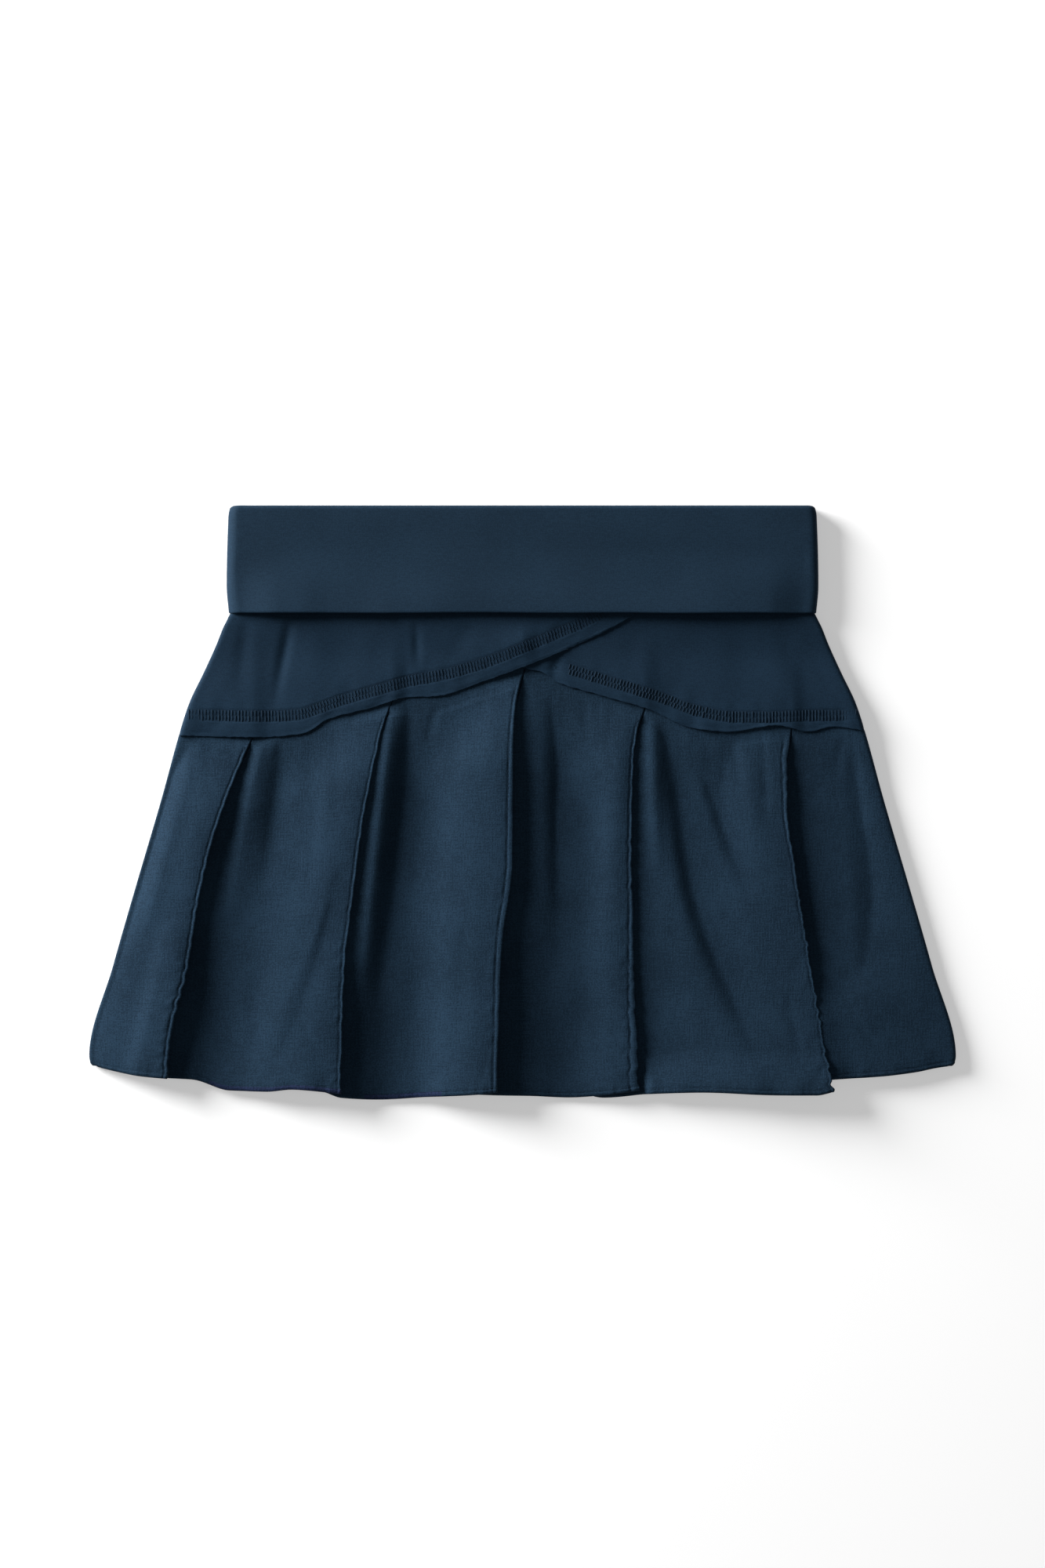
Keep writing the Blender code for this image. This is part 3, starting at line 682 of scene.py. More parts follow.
print("drag lines:", len(LEFT_DRAGS), "on the left,", len(RIGHT_DRAGS), "on the right")

# %% The yokes over the pleats
PLEAT_LIFTS = [
    Edge(-198, 0.9), Edge(-183, 0.35), Edge(-155, 1), Edge(-145, 0), Edge(-105, 0.4),
    Edge(-76, 1), Edge(-66, 0), Edge(-30, 0.4), Edge(0, 1), Edge(10, 0), Edge(45, 0.4),
    Edge(69, 1), Edge(80, 0), Edge(120, 0.4), Edge(154, 1), Edge(163, 0.1), Edge(185, 0.4),
    Edge(198, 0.9),
]
pleat_lift = curve(PLEAT_LIFTS)


def plain_yoke_z(across, drop):
    """A yoke's height before its finish: over the waist seam, and over the pleats under it."""
    near_edge = ease(66, front_seam(across) - 13, drop)
    under_band = YOKE_UNDER_BAND * ease(57.5, 62.5, drop) * (1 - ease(63, 90, drop))
    over_pleats = YOKE_OVER_PLEATS * near_edge * mix(0.62, 1, pleat_lift(across))
    return YOKE_Z + WAIST_LIFT * at_waist(drop) + under_band + over_pleats


def left_over_right(across, drop):
    """1 where the left yoke lies on the right one, and 0 past the right one's end or edge."""
    hidden_edge = right_yoke_edge(across)
    return (1 - ease(hidden_edge + 4, hidden_edge + 14, drop)) * ease(-YOKE_TIP - 14, -YOKE_TIP - 4, across)


# %% Stitched channels and raw edges
STITCH_BAND = 6.4


def yoke_finish(across, drop, edge, stitch_line, drags, seed):
    """Drag lines, the stitched channel, and the curl of the raw edge."""
    above = edge(across) - drop
    sewn = stitch_line(across) - drop
    channel = ease(-0.9, 0.2, sewn) * (1 - ease(STITCH_BAND - 0.2, STITCH_BAND + 0.9, sewn))
    uneven = ripple(across, drop, 11, 30, seed)
    gap = edge(across) - stitch_line(across)
    lifted = 0.1 + 0.35 * (1 - ease(2.5, 6.5, gap)) + 0.2 * ripple(across, drop * 0, 24, 1, seed + 1)
    curl = (1 - ease(0, 2.6, above)) * lifted
    flap = (1 - ease(-2.7, -0.2, sewn)) * 0.2 * ripple(across, drop * 0, 17, 1, seed + 2)
    pucker = 0.12 * uneven * (1 - ease(STITCH_BAND, STITCH_BAND + 14, sewn))
    drape = 0.16 * ripple(across, drop, 42, 42, seed + 3) * ease(64, 74, drop)
    return 1.3 * drag_height(across, drop, drags) - 0.22 * channel + curl + flap + pucker + drape


def below_band(drop):
    return ease(BAND_DROP, BAND_DROP + 6, drop)


def left_yoke_z(across, drop):
    plain = plain_yoke_z(across, drop) + YOKE_OVER_YOKE * left_over_right(across, drop)
    finish = yoke_finish(across, drop, left_yoke_edge, left_stitch_line, LEFT_DRAGS, 21)
    return plain + finish * below_band(drop)


def right_yoke_z(across, drop):
    seen = ease(left_yoke_edge(across) - 6, left_yoke_edge(across), drop)
    seen = np.where(across > YOKE_TIP - 4, 1, seen)
    finish = yoke_finish(across, drop, right_yoke_edge, right_stitch_line, RIGHT_DRAGS, 31)
    return plain_yoke_z(across, drop) + finish * below_band(drop) * seen


below_stitches = left_yoke_edge(-150) - left_stitch_line(-150)
print("raw edge left of the middle:", round(below_stitches.item(), 1), "mm below the stitches")

# %% Lay the yokes
YOKE_COLUMNS = 240
YOKE_SHARES = graded((0, 0.72, 38), (0.72, 1, 40))


def make_yoke(name, sign, edge, height_at, seed):
    """One yoke, from its side fold to its hidden tip; sign is -1 on the left and 1 on the right."""
    foot = float(edge(sign * side(SEAM_AT_SIDE)))
    v = YOKE_SHARES
    at_side = mix(WAIST_SEAM, foot, v)
    tip = -sign * YOKE_TIP
    low_z = BACK_Z + 0.15 + BAND_BACK_LIFT * at_waist(at_side)
    high_z = plain_yoke_z(sign * side(at_side), at_side)
    roll, roll_z = rolled_side(at_side, sign, low_z, high_z, 0.0, YOKE_WALL)
    u = np.linspace(0, 1, YOKE_COLUMNS)[None, :]
    across = mix(roll[:, -1:], tip, u)
    foot_across = mix(sign * flat_half(foot), tip, u)
    frayed = edge(foot_across) + 0.22 * ripple(foot_across, foot_across * 0, 5.0, 1, seed)
    drop = mix(WAIST_SEAM, frayed, v[:, None])
    settle = ease(0, 0.04, u)
    height = mix(high_z[:, None], height_at(across, drop), settle)
    across = np.concatenate([roll[:, :-1], across], axis=1)
    drop = np.concatenate([np.repeat(at_side[:, None], ROLL_POINTS, 1), drop], axis=1)
    height = np.concatenate([roll_z[:, :-1], height], axis=1)
    if sign > 0:
        across, drop, height = across[:, ::-1], drop[:, ::-1], height[:, ::-1]
    raw = ease(0, 5.0, (1 - v) * (foot - WAIST_SEAM))
    thick = (mix(0.5, 1.0, raw) * np.where(v > 0.995, 0.7, 1.0))[:, None] * YOKE_WALL
    return lay_cloth(name, across, drop, height, YOKE_WALL, yoke_jersey_painted_shade, thick)


left_yoke_cloth = make_yoke("front_yoke_left_cloth", -1, left_yoke_edge, left_yoke_z, 41)
right_yoke_cloth = make_yoke("front_yoke_right_cloth", 1, right_yoke_edge, right_yoke_z, 43)
print("yokes:", len(left_yoke_cloth.data.polygons) + len(right_yoke_cloth.data.polygons), "faces")

# %% [markdown]
# ## The front gores
#
# Each gore is cut as a flared panel and laid over the next one in a knife pleat: its right edge
# is folded under, and a line of stitches close to the fold keeps the crease. Thin cotton draws
# up along such a line, so the edge puckers and waves, more towards the hem. The gore comes out
# from under its neighbour's fold, falls into a dark valley, and climbs to its own fold, where it
# rounds over. That sweep is what the low light draws, so each gore has a row of sizes for it.
# Simulated drape would lose these few definite lines, so the creases are listed too, and
# a seeded ripple roughens them.
#
# In a gore's swell, edge is the height of its own fold, and step is how far the gore lies below
# its neighbour's fold where it comes out. dark and climb are distances from there: the gore
# falls at the slope called fall as far as dark, turns upwards as far as climb, and then rounds
# over to the slope called end. Sizes are given for the middle and the hem, and some for the top.

# %% Swells and folds of the gores
SWELL_SIZES = "edge_mid edge_hem step_top step_mid step_hem dark_mid dark_hem "
SWELL_SIZES += "climb_mid climb_hem fall end_mid end_hem"
Swell = namedtuple("Swell", SWELL_SIZES)
SWELLS = [
    Swell(12.6, 13.2, 0, 0, 0, 0, 0, 18, 38, 0.2, -0.06, -0.16),
    Swell(13.8, 13.8, 2.0, 4.8, 6.2, 5, 17, 56, 48, -0.14, -0.05, -0.05),
    Swell(15.4, 15.6, 1.6, 1.8, 5.0, 17, 18, 52, 54, -0.24, -0.05, -0.05),
    Swell(9.8, 7.8, 2.2, 5.4, 7.6, 29, 30, 52, 56, -0.15, -0.22, -0.04),
    Swell(10.8, 10.8, 1.4, 2.1, 3.2, 2, 3, 14, 16, -0.06, -0.03, -0.03),
    Swell(5.3, 5.3, 3.0, 6.8, 0.9, 20, 2, 42, 16, -0.17, -0.05, -0.05),
]
FOLD_SIZES = "gore drop_top top drop_middle middle drop_foot foot spread height tail"
Fold = namedtuple("Fold", FOLD_SIZES, defaults=[1.0])
FOLDS = [
    Fold(0, 238, -202.0, 290, -212.5, 350, -227.0, 6.5, 1.9, 2.4),
    Fold(1, 118, -142.0, 160, -153.8, 240, -167.0, 5.4, 2.7, 2.1),
    Fold(1, 120, -137.0, 158, -140.5, 222, -149.0, 4.2, -0.9, 1.4),
    Fold(1, 205, -103.0, 250, -113.5, 335, -146.0, 4.6, -0.8, 2.0),
    Fold(2, 106, -72.0, 185, -82.0, 290, -92.5, 4.6, 2.6, 1.5),
    Fold(2, 104, -60.5, 190, -69.5, 285, -82.0, 5.8, -2.0, 2.2),
    Fold(3, 90, 9.5, 150, 11.0, 235, 13.5, 4.6, 0.8),
    Fold(3, 88, 20.5, 160, 21.5, 245, 21.0, 4.2, -1.9, 2.4),
    Fold(4, 104, 75.5, 160, 75.5, 215, 78.0, 4.6, 1.8),
    Fold(4, 104, 84.0, 215, 97.5, 320, 137.5, 6.4, -4.2, 6.5),
    Fold(4, 106, 99.5, 164, 110.0, 225, 130.0, 4.6, -2.4, 2.6),
]
print("highest fold:", max(swell.edge_hem for swell in SWELLS), "mm")

# %% Creases and stitched edges of the gores
CREASES = [
    Fold(0, 136, -186.0, 143, -172.0, 146, -160.0, 2.4, -0.5),
    Fold(0, 160, -196.0, 200, -206.0, 250, -214.0, 6.0, 0.35),
    Fold(0, 230, -206.0, 270, -212.0, 310, -222.0, 5.0, -0.3),
    Fold(1, 134, -128.0, 165, -129.0, 215, -132.0, 6.0, 0.5),
    Fold(1, 128, -108.0, 150, -106.0, 190, -108.0, 4.0, -0.5),
    Fold(1, 170, -118.0, 205, -121.0, 240, -126.0, 3.0, -0.35),
    Fold(1, 225, -112.0, 245, -118.0, 262, -124.0, 2.2, 0.4),
    Fold(1, 262, -158.0, 292, -160.0, 322, -158.0, 5.0, 0.5),
    Fold(1, 290, -127.0, 306, -122.0, 320, -114.0, 3.0, -0.35),
    Fold(2, 114, -48.0, 124, -52.0, 140, -55.0, 3.0, -0.5),
    Fold(2, 112, -26.0, 128, -27.0, 158, -26.0, 4.0, -0.35),
    Fold(2, 150, -40.0, 200, -42.0, 262, -47.0, 6.0, 0.45),
    Fold(2, 225, -30.0, 262, -34.0, 310, -36.0, 4.5, -0.4),
    Fold(3, 106, 40.0, 122, 38.0, 150, 40.0, 4.0, -0.5),
    Fold(3, 110, 52.0, 140, 50.0, 176, 50.0, 3.6, -0.45),
    Fold(3, 240, 44.0, 280, 46.0, 320, 42.0, 4.0, -0.4),
    Fold(4, 132, 120.0, 146, 122.0, 168, 126.0, 3.2, -0.6),
    Fold(4, 132, 137.0, 150, 139.0, 182, 140.0, 3.0, -0.7),
    Fold(4, 134, 128.0, 158, 131.0, 196, 133.0, 4.0, 0.5),
    Fold(4, 180, 118.0, 240, 128.0, 300, 147.0, 4.0, 0.2),
    Fold(4, 250, 92.0, 290, 98.0, 325, 104.0, 6.0, 0.4),
    Fold(4, 278, 152.0, 300, 156.0, 325, 160.0, 3.4, -0.5),
    Fold(5, 150, 176.0, 200, 184.0, 270, 198.0, 6.0, 0.15),
    Fold(5, 132, 186.0, 140, 182.0, 156, 180.0, 3.0, -0.35),
    Fold(5, 296, 190.0, 312, 206.0, 322, 226.0, 3.0, -0.4),
]
Pleat = namedtuple("Pleat", "stitch_top stitch_mid stitch_hem bead wave_top wave_hem wave_length")
PLEATS = [
    Pleat(2.0, 2.2, 2.4, 0.30, 0.20, 0.50, 7.5),
    Pleat(1.6, 2.0, 1.8, 0.30, 0.20, 0.50, 8.5),
    Pleat(1.8, 3.6, 2.4, 0.20, 0.10, 0.20, 14.0),
    Pleat(1.4, 2.4, 5.2, 0.40, 0.35, 0.75, 7.5),
    Pleat(4.2, 1.6, 1.5, 0.40, 0.35, 0.90, 5.5),
]
print("folds:", len(FOLDS), "finer creases:", len(CREASES), "stitched pleats:", len(PLEATS))

# %% Ground, folds and edges at a point
SOFT_FLOOR = 0.7


def pleat_depth(below_top):
    """How deep a pleat is folded under: nothing at the yoke, and its full depth at the hem."""
    return PLEAT_DEPTH * ease(LIFT_END, GORE_LENGTH, below_top) ** 0.75


def over_shorts(across, drop):
    """1 over the shorts, falling to 0 beyond their sides and hem."""
    edge = shorts_side(drop)
    return (1 - ease(edge + 2, edge + 28, np.abs(across))) * (1 - ease(SHORTS_HEM + 2, SHORTS_HEM + 52, drop))


def gore_floor(across, drop):
    """The lowest a gore may lie: on the back, on the shorts, or sewn up against the yokes."""
    seat = 1 - ease(3, 34, drop - front_seam(across))
    return mix(mix(GORE_LOW_Z, GORE_Z, over_shorts(across, drop)), GORE_SEAT_Z, seat)


def fold_height(gore, across, drop, folds):
    """What soft folds add at a point: each fades at both ends, and tail widens its right side."""
    total = across * 0.0
    for fold in folds:
        if fold.gore != gore:
            continue
        middle = fold.drop_middle, fold.middle
        line = curve([(fold.drop_top, fold.top), middle, (fold.drop_foot, fold.foot)])
        share = np.clip((drop - fold.drop_top) / (fold.drop_foot - fold.drop_top), 0, 1)
        fade = np.sin(math.pi * share ** 0.8) ** 0.8
        away = across - line(drop)
        reach = np.where(away > 0, fold.spread * fold.tail, fold.spread)
        total = total + fold.height * fade * np.exp(-((away / reach) ** 2))
    return total


def line_at(line, gore, v):
    """Where a pleat's fold is, and how far down, at a share v of its gore's length."""
    rows = PLEAT_LINES[line]
    top = front_seam(rows[0].across) - SEAM_TUCK
    foot = front_hems[gore](rows[-1].across)
    drop = mix(top, foot, v)
    return pleat_lines[line](drop), drop


def stitch_offset(line, v):
    """How far the edge stitching runs from the fold."""
    pleat = PLEATS[line]
    return curve([(0, pleat.stitch_top), (0.5, pleat.stitch_mid), (1, pleat.stitch_hem)])(v)


def edge_wave(line, v, drop):
    """How far the puckered fold strays from its line."""
    pleat = PLEATS[line]
    size = mix(pleat.wave_top, pleat.wave_hem, ease(0.3, 1, v)) * ease(0.05, 0.12, v)
    return size * ripple(drop, drop * 0, pleat.wave_length, 1, 60 + line)


print("half-way down, a pleat is", round(pleat_depth(GORE_LENGTH / 2).item(), 1), "mm deep")

# %% [markdown]
# ## Working out one gore
#
# The upper ply is a grid between the gore's left end, hidden under its neighbour, and its own
# folded edge. The fold is a half turn of the cloth, and the return ply slopes back down to the
# seam beside the next gore's left end. The hem is a narrow turned edge: the shell is thicker
# there, and a line of stitches dents it. On two gores a lighter, more violet copy of the voile
# paints a sheen on the hem.

# %% The form of a front gore
HEM_TURN = 2.6
HEM_FLICKS = [0.2, 0.8, 0.3, 0.6, 4.2, 0.5]
RIGHT_SIDE_Z = BACK_Z + 0.2 + 2 * SIDE_ROUND
LEFT_SIDE_Z, LEFT_SIDE_HEM = 8.2, 5.4
LEFT_RIM, LEFT_RIM_HEM, RIM_REACH = 3.8, 0.9, 11.0


class Gore:
    """One front gore's form: heights at any point of its upper ply."""

    def __init__(self, number):
        self.number = number
        self.swell = SWELLS[number]
        self.hem = front_hems[number]
        self.first = number == 0
        self.last = number == len(SWELLS) - 1

    def side_row(self, v, sign):
        """(drop, inset, low z, high z) of the first or last gore's side fold."""
        drop = mix(front_seam(sign * side(SEAM_AT_SIDE)) - SEAM_TUCK, self.hem(sign * side(HEM_AT_SIDE)), v)
        tucked = 1 - ease(3.5, SEAM_TUCK, v * GORE_LENGTH)
        return drop, TUCK_INSET * tucked, BACK_Z + TUCK_LIFT * tucked, self.side_height(v)

    def side_height(self, v):
        """The top of the side fold: high where it is sewn to the yoke, then sinking."""
        side_z = mix(LEFT_SIDE_Z, LEFT_SIDE_HEM, ease(0.5, 0.85, v)) if self.first else RIGHT_SIDE_Z
        return mix(GORE_SEAT_Z + 0.9, side_z, ease(11, 46, v * GORE_LENGTH))

    def span(self, v):
        """Left end and right edge of the upper ply, and the line where it comes into sight."""
        if self.first:
            drop, inset, _, _ = self.side_row(v, -1)
            left = edge = -flat_half(drop, inset)
        else:
            edge = line_at(self.number - 1, self.number, v)[0]
            left = edge + 0.4 - pleat_depth(v * GORE_LENGTH)
        if self.last:
            drop, inset, _, _ = self.side_row(v, 1)
            right = flat_half(drop, inset)
        else:
            right, drop = line_at(self.number, self.number, v)
            right = right + edge_wave(self.number, v, drop)
        return left, right, edge

    def drop_at(self, across, v):
        """How far down the share v is at a place across the gore."""
        left, right, _ = self.span(v)
        top_left, top_right, _ = self.span(v * 0)
        hem_left, hem_right, _ = self.span(v * 0 + 1)
        share = (across - left) / (right - left)
        top = front_seam(mix(top_left, top_right, share)) - SEAM_TUCK
        return mix(top, self.hem(mix(hem_left, hem_right, share)), v)

    def station(self, top, mid, hem, v, turns=0.45):
        """A size of this gore that changes on its way down, at last below the share turns."""
        return mix(top, mid, ease(0.04, 0.36, v)) + (hem - mid) * ease(turns, 0.85, v)

    def edge_z(self, v):
        """The height of the gore's own folded edge."""
        lift = ease(LIFT_START, LIFT_END, v * GORE_LENGTH)
        top = mix(GORE_SEAT_Z + FOLD_PLY * (0.5 + lift), self.swell.edge_mid, ease(0.04, 0.26, v))
        return top + (self.swell.edge_hem - self.swell.edge_mid) * ease(0.5, 1, v)

    def beside_z(self, v):
        """The height where the gore comes out from under its neighbour's fold."""
        if self.first:
            return self.side_height(v)
        swell = self.swell
        step = self.station(swell.step_top, swell.step_mid, swell.step_hem, v, 0.6)
        edge = self.span(v)[2]
        return np.maximum(gores[self.number - 1].edge_z(v) - step, gore_floor(edge, self.drop_at(edge, v)))

    def valley_z(self, across, drop, v):
        """The ground under that fold, rising to where the gore comes out."""
        if self.first:
            return across * 0 + self.side_height(v)
        left, _, edge = self.span(v)
        return mix(gore_floor(across, drop), self.beside_z(v), ease(left - 1.3, edge - 0.9, across))

    def swept(self, inside, width, rise, v):
        """The gore from its neighbour's fold to its own: it falls, turns, climbs and rounds over.
        Its slope changes evenly between the three bends, so its shading does too."""
        swell = self.swell
        dark = self.station(swell.dark_mid * 0.4, swell.dark_mid, swell.dark_hem, v)
        climb = self.station(swell.climb_mid, swell.climb_mid, swell.climb_hem, v)
        climb = np.minimum(climb, width - 6)
        end = self.station(swell.end_mid, swell.end_mid, swell.end_hem, v)
        fall, end = (slope * ease(0.04, 0.2, v) for slope in (swell.fall, end))
        top_slope = (2 * rise - fall * (dark + climb) - end * (width - climb)) / (width - dark)
        x = np.clip(inside, 0, width)
        turn = np.clip(x - dark, 0, climb - dark)
        over = np.clip(x - climb, 0, width - climb)
        z = fall * (x - over) + (top_slope - fall) * turn ** 2 / (2 * (climb - dark))
        return z + top_slope * over + (end - top_slope) * over ** 2 / (2 * (width - climb))

    def height(self, across, drop, v):
        """The height of the upper ply, with its folds, creases, stitches and hem."""
        left, right, left_edge = self.span(v)
        below_top = v * GORE_LENGTH
        end_z = self.side_height(v) if self.last else self.edge_z(v)
        swept = self.swept(across - left_edge, right - left_edge, end_z - self.beside_z(v), v)
        z = self.valley_z(across, drop, v) + swept
        if self.first:
            rim = mix(LEFT_RIM, LEFT_RIM_HEM, ease(0.45, 0.8, v)) * ease(7, 20, below_top)
            z = z - rim * (1 - np.clip((across - left) / RIM_REACH, 0, 1)) ** 2
        free = ease(7, 17, below_top)
        folds = fold_height(self.number, across, drop, FOLDS) * free
        room = z + folds - gore_floor(across, drop)
        z = z + folds - room + (room + np.sqrt(room ** 2 + SOFT_FLOOR ** 2)) / 2
        shown = ease(left_edge + 1, left_edge + 9, across) * ease(9, 15, below_top)
        fine = 0.7 * fold_height(self.number, across, drop, CREASES) * free
        fine = fine + 0.13 * ripple(across, drop, 26, 110, 80 + self.number) * ease(0.05, 0.2, v)
        fine = fine + 0.04 * ripple(across, drop, 10, 14, 90 + self.number)
        fine = fine + 0.012 * ripple(across, drop, 9, 4, 160 + self.number)
        gathers = 0.12 * (1 - ease(0.06, 0.26, v)) * ripple(across, drop * 0.15, 9, 60, 100 + self.number)
        z = z + (fine + gathers) * shown * (1 - 0.7 * self.near_side(across, right))
        return z + self.stitched_edge(across, drop, v, right) + self.turned_hem(across, v)

    def near_side(self, across, right):
        """1 at the gore's folded edge, and 0 a few millimetres inside it."""
        return ease(right - 8, right - 1, across)

    def stitched_edge(self, across, drop, v, right):
        """The dent of the stitches along the fold, and the puckered bead beside it."""
        if self.last:
            return 0.0
        pleat = PLEATS[self.number]
        offset = stitch_offset(self.number, v)
        inside = right - across
        shown = ease(0.06, 0.1, v)
        pull = ripple(drop, across * 0.2, 6.5, 30, 120 + self.number)
        dent = -0.34 * (1 + 0.35 * pull) * np.exp(-(((inside - offset) / 0.75) ** 2))
        from_bead = (inside - offset * 0.42) / (0.32 * offset + 0.25)
        bead = pleat.bead * (0.8 + 0.5 * pull) * np.exp(-(from_bead ** 2))
        drawn = 0.3 * ease(0.2, 1, v) * pull * np.exp(-(((inside - offset - 2.2) / 2.2) ** 2))
        return (dent + bead + drawn) * shown

    def turned_hem(self, across, v):
        """The dent of the hem's stitches, its rounded end, and how it flicks up and waves."""
        above = self.above_hem(across, v)
        dent = -0.2 * np.exp(-(((above - HEM_TURN) / 0.6) ** 2)) - 0.6 * (1 - ease(0, 2.4, above))
        edge = self.span(v)[2]
        flick = HEM_FLICKS[self.number] * (1 - ease(0, 26, above)) * ease(edge + 0.5, edge + 8, across)
        wave = 0.35 * ripple(across, across * 0, 21, 1, 140 + self.number) * (1 - ease(2, 14, above))
        pull = 0.12 * ripple(across, across * 0, 5, 1, 150 + self.number) * (1 - ease(2, 7, above))
        return dent + flick + wave + pull

    def above_hem(self, across, v):
        """How far above its hem a point of the gore is."""
        return (1 - v) * (self.hem(across) - front_seam(across) + SEAM_TUCK)

    def hem_width(self):
        """How wide the gore shows at its hem."""
        _, right, edge = self.span(np.ones(1))
        return round((right - edge).item())


gores = [Gore(number) for number in range(len(SWELLS))]
print("the gores show", [gore.hem_width() for gore in gores], "mm wide at the hem")

# %% Lay the front gores
GORE_SHARES = graded((0, 0.13, 18), (0.13, 0.965, 128), (0.965, 1, 15))
BODY_SHARES = graded((0, 0.86, 66), (0.86, 1, 34))
RETURN_SHARES = np.linspace(0, 1, 8)
FOLD_TURN = np.radians([66, 44, 22, 0, -24, -50])
PLY_GAP = 1.5 * VOILE_WALL
# Where the painted sheen lies on the hems of the second and third gores, across in millimetres.
HEM_SHEEN_PAINTED_SPAN = {1: (-180, -90), 2: (-90, -45)}


def side_columns(gore, sign, joined):
    """The columns of a side fold. They meet the upper ply at the height joined."""
    at_side, inset, low_z, high_z = gore.side_row(GORE_SHARES, sign)
    roll, roll_z = rolled_side(at_side, sign, low_z, high_z, inset)
    join = ease(0.2, 1, np.linspace(0, 1, ROLL_POINTS + 1))[None, :]
    roll_z = roll_z + (joined - roll_z[:, -1:]) * join
    drop = np.repeat(at_side[:, None], ROLL_POINTS, 1)
    return roll[:, :-1], drop, roll_z[:, :-1]


def fold_columns(gore, column, right, centre, peak):
    """The columns of the fold at a gore's right edge, and of the return ply under the gore."""
    turn_radius = FOLD_PLY / 2
    turn = FOLD_TURN[None, :]
    bend = centre + turn_radius * np.cos(turn)
    bend_z = peak - turn_radius + turn_radius * np.sin(turn)
    lift = ease(LIFT_START, LIFT_END, column * GORE_LENGTH)
    end = right - np.maximum(4.0, pleat_depth(column * GORE_LENGTH))
    end_z = gore_floor(end, gore.drop_at(end, column)) + FOLD_PLY * lift
    share = RETURN_SHARES[None, :]
    back = mix(centre, end, share)
    back_drop = gore.drop_at(back, column)
    back_z = mix(peak - FOLD_PLY, end_z, ease(0, 1, share))
    back_z = np.minimum(back_z, gore.height(back, back_drop, column) - PLY_GAP)
    return (bend, gore.drop_at(bend, column), bend_z), (back, back_drop, back_z)


def make_gore(gore):
    column = GORE_SHARES[:, None]
    left, right, _ = (x[:, None] for x in gore.span(GORE_SHARES))
    centre = right - VOILE_WALL / 2 - FOLD_PLY / 2
    across = mix(left, right if gore.last else centre, BODY_SHARES[None, :])
    drop = gore.drop_at(across, column)
    height = gore.height(across, drop, column)
    columns = [(across, drop, height)]
    if gore.first:
        columns.insert(0, side_columns(gore, -1, height[:, :1]))
    if gore.last:
        columns.append([part[:, ::-1] for part in side_columns(gore, 1, height[:, -1:])])
    else:
        columns.extend(fold_columns(gore, column, right, centre, height[:, -1:]))
    across, drop, height = (np.concatenate([part[i] for part in columns], axis=1) for i in range(3))
    above = gore.above_hem(across, column)
    rolled = 1 - ease(HEM_TURN - 0.9, HEM_TURN - 0.1, above)
    nose = np.where(column > 0.9985, 0.45, 1.0)
    thick = mix(VOILE_WALL, HEM_WALL, rolled) * nose
    name = f"front_gore_{gore.number + 1}_cloth"
    cloth = lay_cloth(name, across, drop, height, HEM_WALL, voile, thick)
    first, last = HEM_SHEEN_PAINTED_SPAN.get(gore.number, (0, 0))
    # The turned hem there gets the copy of the voile with the painted sheen.
    hem_sheen_painted = (above < HEM_TURN - 0.2) & (across > first) & (across < last)
    cloth.data.materials.append(voile_painted_sheen)
    cloth.data.polygons.foreach_set("material_index", hem_sheen_painted[1:, 1:].astype(int).reshape(-1))
    return cloth


gore_cloths = [make_gore(gore) for gore in gores]
print("front gores:", [len(cloth.data.polygons) for cloth in gore_cloths], "faces")

# %% [markdown]
# ## The back and the shorts
#
# The back lies flat on the floor and the shorts lie between it and the front, so little of them
# ever shows. They still get the same cloths, lapped seams and thicker turned hems, but coarser
# grids and no creases.

# %% Lay the back and the shorts
BACK_GORE_WALL, BACK_HEM_WALL = 0.45, 0.6
BACK_LAP_LIFT = 1.1
BACK_SHARES = graded((0, 0.12, 10), (0.12, 0.965, 34), (0.965, 1, 6))


def make_back_yoke():
    v = np.linspace(0, 1, 24)[:, None]
    u = np.linspace(0, 1, 80)[None, :]
    foot = float(back_seam(PAST_SIDE))
    half = back_half(mix(WAIST_SEAM, foot, v))
    drop = mix(WAIST_SEAM, back_seam(np.abs(mix(back_half(foot), -back_half(foot), u))), v)
    across = mix(half, -half, u)
    height = BACK_Z + 0.15 + BAND_BACK_LIFT * at_waist(drop)
    return lay_cloth("back_yoke_cloth", across, drop, height, YOKE_WALL, yoke_jersey_painted_shade)


def make_back_gore(number):
    """A back gore, seen from behind: it lies flat, and laps the gore before it by half a pleat."""
    first, last = number == 0, number == len(SWELLS) - 1
    v = BACK_SHARES[:, None]
    below_top = v * GORE_LENGTH
    tucked = 1 - ease(LIFT_START, LIFT_END, below_top)
    lap = pleat_depth(below_top) / 2
    at_side = mix(back_seam(PAST_SIDE) - SEAM_TUCK, back_hem(PAST_SIDE), v)
    half = back_half(at_side, TUCK_INSET * tucked)
    line_drop = mix(110, 335, v)
    edge = -half if first else pleat_lines[number - 1](line_drop) + 0.3
    start = edge if first else edge - lap
    end = half if last else pleat_lines[number](line_drop)
    across = mix(start, end, np.linspace(0, 1, 40)[None, :])
    lapped = across * 0 if first else 1 - ease(edge + 0.8, edge + 6, across)
    drop = mix(back_seam(np.abs(across)) - SEAM_TUCK, back_hem(np.abs(across)), v)
    drop = mix(drop, at_side, ease(half - 12, half, np.abs(across)))
    height = BACK_Z + BACK_LAP_LIFT * np.maximum(tucked, lapped)
    above = (1 - v) * GORE_LENGTH
    rolled = 1 - ease(HEM_TURN - 0.9, HEM_TURN, above)
    thick = mix(BACK_GORE_WALL, BACK_HEM_WALL, rolled) + across * 0
    return lay_cloth(f"back_gore_{number + 1}_cloth", -across, drop, height, BACK_HEM_WALL, voile, thick)


